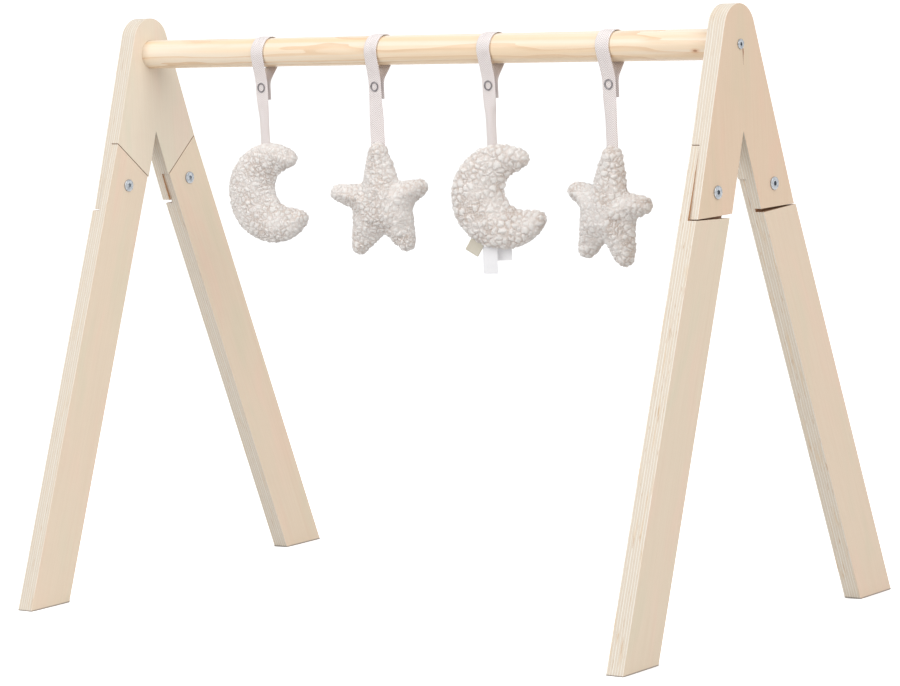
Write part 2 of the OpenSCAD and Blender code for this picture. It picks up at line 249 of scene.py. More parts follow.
def plies_group() -> bpy.types.NodeTree:
    """Plywood in depth: the number of each ply, its tone, and the glue lines between plies.

    Returns:
        The group's tree.
    """
    graph, given, out = new_group(
        "plies", "ShaderNodeTree",
        {"Vector": ("NodeSocketVector", None), "Inner Face": ("NodeSocketFloat", 0.345),
         "Thickness": ("NodeSocketFloat", 0.018), "Plies": ("NodeSocketFloat", 13.0)},
        {"Face": "NodeSocketFloat", "Cross": "NodeSocketFloat", "Glue": "NodeSocketFloat",
         "Tone": "NodeSocketFloat"})
    axis = graph.add("ShaderNodeSeparateXYZ", {0: given.outputs["Vector"]})
    deep = graph.math("SUBTRACT", graph.math("ABSOLUTE", axis.outputs[0]), given.outputs["Inner Face"])
    waves = graph.noise(given.outputs["Vector"], 45.0, 1.0)
    drift = graph.math("MULTIPLY", graph.math("SUBTRACT", waves, 0.5), 0.0009)
    share = graph.math("DIVIDE", graph.math("ADD", deep, drift), given.outputs["Thickness"])
    layers = graph.math("MULTIPLY", share, given.outputs["Plies"])
    number = graph.math("FLOOR", layers)
    within = graph.math("FRACT", layers)
    near = graph.math("MINIMUM", within, graph.math("SUBTRACT", 1.0, within))
    graph.put(out.inputs["Glue"], graph.remap(near, 0.02, 0.11, 1.0, 0.0))
    graph.put(out.inputs["Cross"], graph.math("PINGPONG", number, 1.0))
    tone = graph.add("ShaderNodeTexWhiteNoise", {"W": number}, noise_dimensions="1D")
    graph.put(out.inputs["Tone"], tone.outputs["Value"])
    depth = graph.math("DIVIDE", deep, given.outputs["Thickness"])
    middle = graph.math("ABSOLUTE", graph.math("SUBTRACT", depth, 0.5))
    graph.put(out.inputs["Face"], graph.remap(middle, 0.478, 0.492))
    return graph.tree


def weave_group() -> bpy.types.NodeTree:
    """Herringbone twill on a UV map in metres.

    Returns:
        The group's tree.
    """
    graph, given, out = new_group(
        "twill", "ShaderNodeTree",
        {"UV": ("NodeSocketVector", None), "Pitch": ("NodeSocketFloat", 0.0011),
         "Band": ("NodeSocketFloat", 0.0037)},
        {"Height": "NodeSocketFloat", "Shade": "NodeSocketFloat"})
    axis = graph.add("ShaderNodeSeparateXYZ", {0: given.outputs["UV"]})
    across, along = axis.outputs[0], axis.outputs[1]
    zigzag = graph.math("ADD", graph.math("PINGPONG", across, given.outputs["Band"]), along)
    turns = graph.math("MULTIPLY", graph.math("DIVIDE", zigzag, given.outputs["Pitch"]), math.tau)
    rib = graph.math("MULTIPLY_ADD", graph.math("SINE", turns), 0.5, 0.5)
    yarn = graph.math("DIVIDE", across, graph.math("MULTIPLY", given.outputs["Pitch"], 0.5))
    thread = graph.math("MULTIPLY_ADD", graph.math("SINE", graph.math("MULTIPLY", yarn, math.tau)), 0.5, 0.5)
    fuzz = graph.noise(given.outputs["UV"], 1500.0, 2.0)
    height = graph.math("ADD", graph.math("MULTIPLY", rib, 0.7), graph.math("MULTIPLY", thread, 0.3))
    graph.put(out.inputs["Height"], graph.math("ADD", height, graph.math("MULTIPLY", fuzz, 0.25)))
    # Shade: painted shade, darker in the valleys between ribs and threads, plus random fuzz tone.
    graph.put(out.inputs["Shade"], graph.math("MULTIPLY_ADD", fuzz, 0.3, graph.math("MULTIPLY", height, 0.7)))
    return graph.tree


STREAKS = streaks_group()
PLIES = plies_group()
TWILL = weave_group()

# ---------------------------------------------------------------- finishes


@dataclass(frozen=True)
class Finish:
    """What every material here shares: a name, a Principled shader and its plain constants."""

    name: str
    roughness: float = 0.5
    constants: tuple[tuple[str, float], ...] = ()

    def start(self) -> tuple[Graph, bpy.types.Node, bpy.types.Material]:
        """Makes the material with an empty Principled shader.

        Returns:
            The graph, the shader node and the material.
        """
        material = bpy.data.materials.new(self.name)
        material.use_nodes = True
        graph = Graph(material.node_tree)
        shader = material.node_tree.nodes["Principled BSDF"]
        graph.put(shader.inputs["Roughness"], self.roughness)
        for name, value in self.constants:
            graph.put(shader.inputs[name], value)
        return graph, shader, material

    def place(self, graph: Graph) -> bpy.types.NodeSocket:
        """Object coordinates."""
        return graph.add("ShaderNodeTexCoord").outputs["Object"]


@dataclass(frozen=True)
class Plywood(Finish):
    """Clear-coated birch plywood: rotary-cut faces, striped edges with glue lines, painted shade in the lap
    joints and a painted contact shadow along the feet.
    """

    roughness: float = 0.42
    inner_face: float = 0.345
    thickness: float = 0.018
    lean: float = 0.0
    shift: float = 0.0
    streaks: float = 0.7
    face: Colour = srgb(223, 204, 181)
    blush: Colour = srgb(226, 202, 180)
    olive: Colour = srgb(219, 204, 180)
    cream: Colour = srgb(229, 223, 212)
    cross: Colour = srgb(217, 204, 186)
    core: Colour = srgb(220, 198, 168)
    glue: Colour = srgb(172, 150, 125)
    # Joint colour: painted shade on the faces inside the lap joint, seen only through its slit. At 70 % it
    # also goes on sawn faces that face up or down, partly for their darker end grain and partly as painted
    # shade.
    joint: Colour = srgb(176, 132, 94)
    fibre: Colour = srgb(196, 168, 138)
    heart: Colour = srgb(212, 184, 156)
    dash: Colour = srgb(190, 152, 112)
    # Painted contact shadow: colour of the lowest millimetre or so of each foot.
    foot: Colour = srgb(112, 100, 92)
    crack: Colour = srgb(142, 84, 54)
    crack_length: float = 14.5 * MM
    # Multiplies the veneer colour: partly the board's own tone, partly painted light.
    tone_and_painted_light: Colour = (1.0, 1.0, 1.0, 1.0)
    split_at: Point | None = None

    def build(self) -> bpy.types.Material:
        """Builds the material.

        Returns:
            The material.
        """
        graph, shader, material = self.start()
        place = self.place(graph)
        turned = graph.add("ShaderNodeMapping", {"Vector": place, "Location": (self.shift, 0, 0),
                                                 "Rotation": (self.lean, 0, 0)}).outputs[0]
        grain = graph.group(STREAKS, Vector=turned, Across=700.0, Along=14.0)
        plies = graph.group(PLIES, Vector=place, Inner_Face=self.inner_face, Thickness=self.thickness)
        blotch = graph.noise(graph.vector("MULTIPLY", turned, (1.0, 34.0, 9.0)), 1.0, 2.0, 0.5, 0.4)
        warm = graph.mix(graph.remap(blotch, 0.5, 0.72), self.face, self.blush)
        veneer = graph.mix(graph.remap(blotch, 0.46, 0.28), warm, self.olive)
        veneer = graph.mix(graph.remap(grain.outputs["Fine"], 0.35, 0.75, 0.0, 0.10), veneer, self.fibre)
        veneer = graph.mix(graph.remap(grain.outputs["Broad"], 0.55, 0.8, 0.0, 0.16), veneer, self.heart)
        # Board tone and painted light, multiplied onto the veneer.
        veneer = graph.mix(1.0, veneer, self.tone_and_painted_light, "MULTIPLY")
        edge = graph.mix(plies.outputs["Cross"], self.cream, self.cross)
        edge = graph.mix(graph.math("MULTIPLY", plies.outputs["Tone"], 0.35), edge, self.cross)
        patches = graph.noise(graph.vector("MULTIPLY", turned, (380.0, 0.0, 26.0)), 1.0, 2.0)
        streaked = graph.math("MULTIPLY", graph.remap(patches, 0.54, 0.7), self.streaks)
        edge = graph.mix(streaked, edge, self.core)
        dashes = graph.noise(graph.vector("MULTIPLY", turned, (760.0, 0.0, 55.0)), 1.0, 2.0)
        dashed = graph.math("MULTIPLY", graph.remap(dashes, 0.62, 0.7), self.streaks)
        edge = graph.mix(dashed, edge, self.dash)
        edge = graph.mix(graph.math("MULTIPLY", plies.outputs["Glue"], 0.75), edge, self.glue)
        colour = graph.mix(plies.outputs["Face"], edge, veneer)
        # Painted shade in the lap joint's slit and on the sawn faces, read from the joint attribute.
        hidden = graph.add("ShaderNodeAttribute", attribute_name="joint").outputs["Fac"]
        colour = graph.mix(hidden, colour, self.joint)
        # Painted contact shadow: the colour turns to the foot colour within 1.4 mm of the floor.
        height = graph.add("ShaderNodeSeparateXYZ", {0: place}).outputs[2]
        colour = graph.mix(graph.remap(height, 0.0006, 0.0014, 0.8, 0.0), colour, self.foot)
        if self.split_at is not None:
            colour = graph.mix(self.split(graph, place), colour, self.crack)
        graph.put(shader.inputs["Base Color"], colour)
        graph.put(shader.inputs["Roughness"], graph.remap(grain.outputs["Fine"], 0.2, 0.8, 0.36, 0.5))
        graph.put(shader.inputs["Normal"], graph.bump(grain.outputs["Fine"], 0.00006))
        return material

    def split(self, graph: Graph, place: bpy.types.NodeSocket) -> bpy.types.NodeSocket:
        """Mask of the hair crack that runs down from a screw hole.

        Args:
            graph: The material's graph.
            place: Position in metres.

        Returns:
            The mask, 1 in the crack.
        """
        offset = graph.add("ShaderNodeSeparateXYZ", {0: graph.vector("SUBTRACT", place, self.split_at)})
        wander = graph.noise(place, 130.0, 2.0)
        aside = graph.math("MULTIPLY_ADD", graph.math("SUBTRACT", wander, 0.5), 0.0012, offset.outputs[1])
        down = graph.math("MULTIPLY", offset.outputs[2], -1.0)
        width = graph.remap(down, 0.0, self.crack_length, 0.0008, 0.0001)
        inside = graph.math("LESS_THAN", graph.math("ABSOLUTE", aside), width)
        on_face = graph.math("GREATER_THAN", offset.outputs[0], -0.002)
        half = 0.0072
        within = graph.math("LESS_THAN", graph.math("ABSOLUTE", graph.math("SUBTRACT", down, half)), half)
        return graph.math("MULTIPLY", graph.math("MULTIPLY", inside, within), on_face)


@dataclass(frozen=True)
class Pine(Finish):
    """Varnished pine: growth rings drawn out along the bar."""

    roughness: float = 0.3
    centre: Point = (0.0, 0.004, 0.519)
    light: Colour = srgb(241, 226, 205)
    amber: Colour = srgb(240, 212, 176)
    line: Colour = srgb(226, 188, 148)
    fleck: Colour = srgb(230, 190, 140)
    knot_rim: Colour = srgb(206, 150, 96)
    knot_heart: Colour = srgb(158, 102, 62)
    knots: tuple[tuple[Point, float], ...] = (((0.3235, -0.0132, 0.5232), 0.0013),
                                              ((-0.21, 0.0105, 0.5185), 0.0016))

    def build(self) -> bpy.types.Material:
        """Builds the material.

        Returns:
            The material.
        """
        graph, shader, material = self.start()
        place = self.place(graph)
        sway = graph.noise(graph.vector("MULTIPLY", place, (5.0, 0.0, 0.0)), 1.0, 1.0)
        moved = graph.vector("SUBTRACT", place, self.centre)
        stretched = graph.vector("MULTIPLY", moved, (0.035, 1.0, 1.0))
        rings = graph.vector("LENGTH", stretched)
        wobble = graph.noise(graph.vector("MULTIPLY", place, (6.0, 60.0, 60.0)), 1.0, 2.0, 0.5, 0.3)
        radius = graph.math("ADD", graph.math("MULTIPLY", rings, 210.0),
                            graph.math("MULTIPLY", graph.math("ADD", wobble, sway), 2.4))
        ring = graph.math("FRACT", radius)
        late = graph.remap(ring, 0.55, 0.97)
        sharp = graph.math("MULTIPLY", late, graph.remap(ring, 1.0, 0.97))
        turned = graph.add("ShaderNodeMapping", {"Vector": place, "Rotation": (0, math.pi / 2, 0)}).outputs[0]
        grain = graph.group(STREAKS, Vector=turned, Across=800.0, Along=12.0)
        colour = graph.mix(graph.remap(grain.outputs["Broad"], 0.38, 0.66), self.light, self.amber)
        colour = graph.mix(graph.math("MULTIPLY", sharp, 0.62), colour, self.line)
        colour = graph.mix(graph.remap(grain.outputs["Fine"], 0.45, 0.8, 0.0, 0.14), colour, self.fleck)
        for at, size in self.knots:
            reach = graph.vector("MULTIPLY", graph.vector("SUBTRACT", place, at), (0.45, 1.0, 1.0))
            knot = graph.math("DIVIDE", graph.vector("LENGTH", reach), size)
            colour = graph.mix(graph.remap(knot, 2.6, 0.6, 0.0, 0.55), colour, self.knot_rim)
            colour = graph.mix(graph.remap(knot, 1.0, 0.5, 0.0, 0.8), colour, self.knot_heart)
        graph.put(shader.inputs["Base Color"], colour)
        graph.put(shader.inputs["Roughness"], graph.remap(sharp, 0.0, 1.0, 0.34, 0.24))
        relief = graph.math("ADD", grain.outputs["Fine"], sharp)
        graph.put(shader.inputs["Normal"], graph.bump(relief, 0.00005))
        return material


@dataclass(frozen=True)
class Metal(Finish):
    """Plated metal with faint clouding and fine scratches."""

    roughness: float = 0.3
    colour: Colour = srgb(182, 186, 190)
    cloud: Colour = srgb(150, 156, 163)

    def build(self) -> bpy.types.Material:
        """Builds the material.

        Returns:
            The material.
        """
        graph, shader, material = self.start()
        place = self.place(graph)
        clouds = graph.noise(place, 420.0, 3.0)
        scratches = graph.noise(graph.vector("MULTIPLY", place, (900.0, 900.0, 5000.0)), 1.0, 2.0)
        graph.put(shader.inputs["Metallic"], 1.0)
        clouded = graph.mix(graph.remap(clouds, 0.4, 0.7), self.colour, self.cloud)
        graph.put(shader.inputs["Base Color"], clouded)
        rough = graph.remap(clouds, 0.3, 0.7, self.roughness - 0.06, self.roughness + 0.1)
        graph.put(shader.inputs["Roughness"], rough)
        graph.put(shader.inputs["Normal"], graph.bump(scratches, 0.00001))
        return material


@dataclass(frozen=True)
class Ribbon(Finish):
    """Cotton herringbone ribbon, on its own UV map."""

    roughness: float = 0.85
    light: Colour = srgb(252, 247, 246)
    dark: Colour = srgb(204, 190, 188)
    pitch: float = 0.0021
    band: float = 0.00375
    relief: float = 0.0003
    constants: tuple[tuple[str, float], ...] = (("Sheen Weight", 0.25), ("Sheen Roughness", 0.4))

    def build(self) -> bpy.types.Material:
        """Builds the material.

        Returns:
            The material.
        """
        graph, shader, material = self.start()
        spot = graph.add("ShaderNodeUVMap", uv_map="cloth").outputs[0]
        weave = graph.group(TWILL, UV=spot, Pitch=self.pitch, Band=self.band)
        worn = graph.noise(self.place(graph), 90.0, 2.0)
        # Painted shade from the weave: light on the ribs, dark in the valleys between them.
        colour = graph.mix(graph.remap(weave.outputs["Shade"], 0.15, 0.75), self.dark, self.light)
        colour = graph.mix(graph.remap(worn, 0.5, 0.75, 0.0, 0.2), colour, self.dark)
        graph.put(shader.inputs["Base Color"], colour)
        graph.put(shader.inputs["Roughness"], graph.remap(weave.outputs["Height"], 0.1, 0.9, 0.92, 0.78))
        graph.put(shader.inputs["Normal"], graph.bump(weave.outputs["Height"], self.relief))
        return material


@dataclass(frozen=True)
class TeddyCloth(Finish):
    """Curly teddy pile with painted shade read from the curl attribute of the mesh: palest on the tufts'
    tops, darker down in the creases.
    """

    roughness: float = 0.95
    # Painted shade by pile height: tip colour on the tops, mid colour between, the darkest colour in the
    # creases. The darkest colour also darkens random fibres.
    tip: Colour = srgb(254, 251, 248)
    mid: Colour = srgb(250, 244, 240)
    crease_shade_and_fibre_tone: Colour = srgb(222, 205, 193)
    constants: tuple[tuple[str, float], ...] = (("Sheen Weight", 0.35), ("Sheen Roughness", 0.5))

    def build(self) -> bpy.types.Material:
        """Builds the material.

        Returns:
            The material.
        """
        graph, shader, material = self.start()
        place = self.place(graph)
        curl = graph.add("ShaderNodeAttribute", attribute_name="curl").outputs["Fac"]
        fibre = graph.noise(place, 2300.0, 3.0, 0.6, 0.8)
        tuft = graph.noise(place, 260.0, 2.0)
        # Painted shade: darker down in the creases, palest on the tufts' tops.
        colour = graph.mix(graph.remap(curl, 0.0, 0.6), self.crease_shade_and_fibre_tone, self.mid)
        colour = graph.mix(graph.remap(curl, 0.5, 0.9), colour, self.tip)
        # Random darker fibres, in the crease colour.
        colour = graph.mix(graph.remap(fibre, 0.35, 0.7, 0.10, 0.0), colour, self.crease_shade_and_fibre_tone)
        colour = graph.mix(graph.remap(tuft, 0.45, 0.75, 0.0, 0.2), colour, self.mid)
        graph.put(shader.inputs["Base Color"], colour)
        graph.put(shader.inputs["Roughness"], graph.remap(fibre, 0.3, 0.7, 0.98, 0.86))
        graph.put(shader.inputs["Normal"], graph.bump(fibre, 0.0007))
        return material


@dataclass(frozen=True)
class Floor(Finish):
    """Matt studio sweep that glows white to the camera and in reflections, with painted contact shadows where
    ambient occlusion dims the glow, and bounces only soft light.
    """

    roughness: float = 0.9
    shade: float = 0.62
    glow: float = 0.8

    def build(self) -> bpy.types.Material:
        """Builds the material.

        Returns:
            The material.
        """
        graph, shader, material = self.start()
        place = self.place(graph)
        dust = graph.noise(place, 3.0, 2.0)
        white = (self.shade, self.shade, self.shade, 1.0)
        dim = (self.shade - 0.01, self.shade - 0.01, self.shade - 0.01, 1.0)
        graph.put(shader.inputs["Base Color"], graph.mix(dust, white, dim))
        # Painted contact shadow: the glow fades where ambient occlusion finds the gym close by.
        contact_shadow_ao = graph.add("ShaderNodeAmbientOcclusion", {"Distance": 0.02}, samples=12).outputs["AO"]
        path = graph.add("ShaderNodeLightPath").outputs
        seen = graph.math("MAXIMUM", path["Is Camera Ray"], path["Is Glossy Ray"])
        lit = graph.math("MULTIPLY", graph.remap(contact_shadow_ao, 0.25, 0.8), self.glow)
        glow = graph.math("MULTIPLY", lit, seen)
        colour = graph.add("ShaderNodeCombineColor", {0: glow, 1: glow, 2: glow}).outputs[0]
        graph.put(shader.inputs["Emission Color"], colour)
        graph.put(shader.inputs["Emission Strength"], 1.0)
        return material


# ---------------------------------------------------------------- mesh helpers


def as_object(name: str, mesh: bpy.types.Mesh,
              material: bpy.types.Material | None = None) -> bpy.types.Object:
    """Puts a mesh into the scene as an object at the origin.

    Args:
        name: The piece's name.
        mesh: Its mesh, in the frame's axes.
        material: Its only material, or None to keep the mesh's own.

    Returns:
        The new object.
    """
    made = bpy.data.objects.new(name, mesh)
    mesh.name = name
    bpy.context.scene.collection.objects.link(made)
    if material is not None:
        mesh.materials.clear()
        mesh.materials.append(material)
    return made


def baked(piece: bpy.types.Object) -> bpy.types.Object:
    """Applies a piece's modifiers by swapping its mesh for the evaluated one.

    Args:
        piece: The piece with modifiers.

    Returns:
        The same piece, holding the evaluated mesh.
    """
    graph = bpy.context.evaluated_depsgraph_get()
    graph.update()
    mesh = bpy.data.meshes.new_from_object(piece.evaluated_get(graph))
    old = piece.data
    piece.modifiers.clear()
    piece.data = mesh
    mesh.name = piece.name
    bpy.data.meshes.remove(old)
    return piece


def smooth(mesh: bpy.types.Mesh, angle: float = math.radians(38)) -> None:
    """Shades a mesh smooth, with its edges sharper than the angle kept sharp.

    Args:
        mesh: The mesh to shade.
        angle: Largest angle in radians that stays smooth.
    """
    work = bmesh.new()
    work.from_mesh(mesh)
    for face in work.faces:
        face.smooth = True
    for edge in work.edges:
        edge.smooth = not (edge.is_manifold and edge.calc_face_angle(0.0) > angle)
    work.to_mesh(mesh)
    work.free()


def lofted(name: str, rings: list[list[Point]],
           material: bpy.types.Material | None = None) -> bpy.types.Object:
    """Joins rings of points into a closed skin with a fan at each end.

    Args:
        name: The piece's name.
        rings: Rings of equally many points, from one end to the other.
        material: The piece's material.

    Returns:
        The new object.
    """
    work = bmesh.new()
    made = [[work.verts.new(point) for point in ring] for ring in rings]
    count = len(made[0])
    for first, second in zip(made, made[1:]):
        for i in range(count):
            j = (i + 1) % count
            work.faces.new((first[i], first[j], second[j], second[i]))
    for ring, turn in ((made[0], -1), (made[-1], 1)):
        middle = work.verts.new(sum((v.co for v in ring), Vector()) / count)
        for i in range(count):
            j = (i + 1) % count
            work.faces.new((ring[i], ring[j], middle)[::turn])
    bmesh.ops.recalc_face_normals(work, faces=work.faces)
    mesh = bpy.data.meshes.new(name)
    work.to_mesh(mesh)
    work.free()
    smooth(mesh)
    return as_object(name, mesh, material)


def modifier_inputs(modifier: bpy.types.Modifier, values: dict[str, object]) -> None:
    """Sets a Geometry Nodes modifier's inputs by the identifiers of their sockets."""
    for item in modifier.node_group.interface.items_tree:
        if item.item_type == "SOCKET" and item.in_out == "INPUT" and item.name in values:
            modifier[item.identifier] = values[item.name]


def grown(name: str, tree: bpy.types.NodeTree, base: bpy.types.Mesh,
          values: dict[str, object]) -> bpy.types.Object:
    """Runs a Geometry Nodes tree on a mesh and keeps the plain result.

    Args:
        name: The new piece's name.
        tree: The tree.
        base: The mesh that it starts from.
        values: The modifier's inputs by name.

    Returns:
        The new object, without its modifier.
    """
    piece = as_object(name, base)
    modifier = piece.modifiers.new("grow", "NODES")
    modifier.node_group = tree
    modifier_inputs(modifier, values)
    return baked(piece)


def row_tree() -> bpy.types.NodeTree:
    """Geometry Nodes: sets a prototype at even steps along a line.

    Returns:
        The tree.
    """
    graph, given, out = new_group(
        "fastener_row", "GeometryNodeTree",
        {"Geometry": ("NodeSocketGeometry", None), "Prototype": ("NodeSocketObject", None),
         "Count": ("NodeSocketInt", 2), "Start": ("NodeSocketVector", (0, 0, 0)),
         "Step": ("NodeSocketVector", (0, 0, 0)), "Turn": ("NodeSocketFloat", 0.0),
         "Material": ("NodeSocketMaterial", None)},
        {"Geometry": "NodeSocketGeometry"})
    line = graph.add("GeometryNodeMeshLine", {"Count": given.outputs["Count"],
                                              "Start Location": given.outputs["Start"],
                                              "Offset": given.outputs["Step"]})
    shape = graph.add("GeometryNodeObjectInfo", {"Object": given.outputs["Prototype"]})
    facing = graph.add("ShaderNodeCombineXYZ", {2: given.outputs["Turn"]}).outputs[0]
    copies = graph.add("GeometryNodeInstanceOnPoints", {"Points": line.outputs[0],
                                                        "Instance": shape.outputs["Geometry"],
                                                        "Rotation": facing})
    real = graph.add("GeometryNodeRealizeInstances", {0: copies.outputs[0]})
    painted = graph.add("GeometryNodeSetMaterial", {"Geometry": real.outputs[0],
                                                    "Material": given.outputs["Material"]})
    graph.put(out.inputs["Geometry"], painted.outputs[0])
    return graph.tree


def pile_tree() -> bpy.types.NodeTree:
    """Geometry Nodes: raises curly teddy pile on a plush body and keeps its height as curl.

    Returns:
        The tree.
    """
    wander_scale, wander_reach = 260.0, 0.004
    fray_scale, fray_reach = 900.0, 0.0022
    brush_scale, brushed_least = 48.0, 0.7
    foot_of_tuft, tuft_spread, curl_spread = -0.06, 0.31, 0.36
    graph, given, out = new_group(
        "teddy_pile", "GeometryNodeTree",
        {"Geometry": ("NodeSocketGeometry", None), "Tuft Size": ("NodeSocketFloat", 0.0036),
         "Tuft Height": ("NodeSocketFloat", 0.0013), "Curl Size": ("NodeSocketFloat", 0.0017),
         "Curl Height": ("NodeSocketFloat", 0.0005), "Seed": ("NodeSocketFloat", 0.0),
         "Material": ("NodeSocketMaterial", None)},
        {"Geometry": "NodeSocketGeometry"})
    at = graph.add("GeometryNodeInputPosition").outputs[0]
    seed = given.outputs["Seed"]
    moved = graph.vector("ADD", at, graph.add("ShaderNodeCombineXYZ", {0: seed, 1: seed, 2: seed}).outputs[0])
    warped = moved
    for scale, reach in ((wander_scale, wander_reach), (fray_scale, fray_reach)):
        noise = graph.add("ShaderNodeTexNoise", {"Vector": moved, "Scale": scale, "Detail": 1.0})
        strays = graph.vector("SUBTRACT", noise.outputs["Color"], (0.5, 0.5, 0.5))
        shift = graph.add("ShaderNodeVectorMath", {0: strays, "Scale": reach}, operation="SCALE")
        warped = graph.vector("ADD", warped, shift.outputs[0])
    domes = []
    for size, spread in (("Tuft Size", tuft_spread), ("Curl Size", curl_spread)):
        scale = graph.math("DIVIDE", 1.0, given.outputs[size])
        cells = graph.add("ShaderNodeTexVoronoi", {"Vector": warped, "Scale": scale},
                          feature="DISTANCE_TO_EDGE")
        domes.append(graph.remap(cells.outputs["Distance"], foot_of_tuft, spread))
    standing = graph.math("ADD", graph.math("MULTIPLY", domes[0], given.outputs["Tuft Height"]),
                          graph.math("MULTIPLY", domes[1], given.outputs["Curl Height"]))
    full = graph.math("ADD", given.outputs["Tuft Height"], given.outputs["Curl Height"])
    sunk = graph.math("SUBTRACT", 1.0, graph.math("DIVIDE", standing, full))
    brushed = graph.remap(graph.noise(moved, brush_scale, 1.0), 0.35, 0.65, brushed_least, 1.0)
    share = graph.math("SUBTRACT", 1.0, graph.math("MULTIPLY", sunk, brushed))
    height = graph.math("MULTIPLY", share, full)
    keep = graph.add("GeometryNodeStoreNamedAttribute", {"Geometry": given.outputs["Geometry"],
                                                         "Name": "curl", "Value": share},
                     data_type="FLOAT", domain="POINT")
    normal = graph.add("GeometryNodeInputNormal").outputs[0]
    lift = graph.add("ShaderNodeVectorMath", {0: normal, "Scale": height}, operation="SCALE")
    raised = graph.add("GeometryNodeSetPosition", {"Geometry": keep.outputs[0], "Offset": lift.outputs[0]})
    real = graph.add("GeometryNodeRealizeInstances", {0: raised.outputs[0]})
    painted = graph.add("GeometryNodeSetMaterial", {"Geometry": real.outputs[0],
                                                    "Material": given.outputs["Material"]})
    graph.put(out.inputs["Geometry"], painted.outputs[0])
    return graph.tree


ROW = row_tree()
PILE = pile_tree()


def hand_in(piece: bpy.types.Object, body: str, slot: str, *nodes: str) -> bpy.types.Object:
    """Rides a piece on its body, hides the CAD nodes that it stands for, and logs it.

    Args:
        piece: The finished piece.
        body: The CAD body that it moves with.
        slot: Not used.
        *nodes: The CAD nodes that it replaces.

    Returns:
        The same piece.
    """
    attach(piece, body)
    if nodes:
        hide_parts(*nodes)
    log.info("%s: %d faces, rides on %s", piece.name, len(piece.data.polygons), body)
    return piece


# ---------------------------------------------------------------- studio


@dataclass
class Studio:
    """Camera, lights, floor and air."""

    eye: Point = (2.2149, -2.7504, 0.6673)
    yaw: float = math.radians(38.61)
    dip: float = math.radians(6.77)
    roll: float = math.radians(-2.84)
    lens: float = 149.3
    sensor: float = 36.0
    surround: float = 0.52
    floor_radius: float = 40.0

    def camera(self) -> None:
        """Sets up the camera by its heading, dip and roll."""
        ahead = Vector((-math.sin(self.yaw) * math.cos(self.dip), math.cos(self.yaw) * math.cos(self.dip),
                        -math.sin(self.dip)))
        right = Vector((math.cos(self.yaw), math.sin(self.yaw), 0))
        up = right.cross(ahead)
        rolled_right = right * math.cos(self.roll) + up * math.sin(self.roll)
        rolled_up = up * math.cos(self.roll) - right * math.sin(self.roll)
        data = bpy.data.cameras.new("camera")
        data.lens = self.lens
        data.sensor_width = self.sensor
        data.sensor_fit = "HORIZONTAL"
        data.clip_end = 50.0
        made = bpy.data.objects.new("camera", data)
        turn = Matrix((rolled_right, rolled_up, -ahead)).transposed().to_4x4()
        made.matrix_world = Matrix.Translation(self.eye) @ turn
        bpy.context.scene.collection.objects.link(made)
        bpy.context.scene.camera = made

    def light(self, name: str, at: Point, size: float, power: float,
              colour: tuple[float, float, float]) -> None:
        """Adds a square soft box that faces the middle of the gym.

        Args:
            name: Name of the light.
            at: Its place in metres.
            size: Side of the box in metres.
            power: Power in watts.
            colour: Its colour.
        """
        data = bpy.data.lights.new(name, "AREA")
        data.size = size
        data.energy = power
        data.color = colour
        made = bpy.data.objects.new(name, data)
        made.location = at
        made.rotation_euler = (Vector((0, 0, 0.3)) - Vector(at)).to_track_quat("-Z", "Y").to_euler()
        bpy.context.scene.collection.objects.link(made)

    def lights(self) -> None:
        """Soft boxes from the left, above and the right, and a bright even surround."""
        self.light("key", (-1.4, -2.8, 2.0), 2.0, 45.0, (1.0, 0.99, 0.98))
        self.light("top", (0.1, -0.2, 3.0), 2.2, 18.0, (1.0, 1.0, 1.0))
        self.light("right", (3.4, -1.2, 2.6), 3.4, 86.0, (1.0, 0.99, 0.98))
        world = bpy.data.worlds.new("studio")
        world.use_nodes = True
        graph = Graph(world.node_tree)
        path = graph.add("ShaderNodeLightPath").outputs
        seen = graph.math("MAXIMUM", path["Is Camera Ray"], path["Is Glossy Ray"])
        strength = graph.math("MULTIPLY_ADD", seen, 1.0 - self.surround, self.surround)
        graph.put(world.node_tree.nodes["Background"].inputs["Color"], (1.0, 1.0, 1.0, 1.0))
        graph.put(world.node_tree.nodes["Background"].inputs["Strength"], strength)
        bpy.context.scene.world = world
        bpy.context.scene.view_settings.view_transform = "Standard"

    def floor(self) -> None:
        """A wide pale floor."""
        work = bmesh.new()
        bmesh.ops.create_circle(work, cap_ends=True, radius=self.floor_radius, segments=96)
        mesh = bpy.data.meshes.new("floor")
        work.to_mesh(mesh)
        work.free()
        as_object("floor", mesh, Floor("floor_white").build())

    def build(self) -> None:
        """Builds the whole studio."""
        self.camera()
        self.lights()
        self.floor()


# ---------------------------------------------------------------- wooden frame


# Per-board multipliers on the veneer: partly each board's own tone, partly painted light, chiefly making the
# left frame's boards brighter and cooler where the lamps leave them dimmer.
BOARD_TONE_AND_PAINTED_LIGHT: dict[str, Colour] = {
    "left_head": (1.14, 1.22, 1.29, 1.0),
    "left_front_leg": (1.11, 1.13, 1.15, 1.0),
    "left_rear_leg": (1.18, 1.19, 1.20, 1.0),
    "right_head": (1.0, 0.94, 0.90, 1.0),
    "right_front_leg": (1.0, 1.02, 1.03, 1.0),
    "right_rear_leg": (1.02, 1.01, 1.01, 1.0),
}


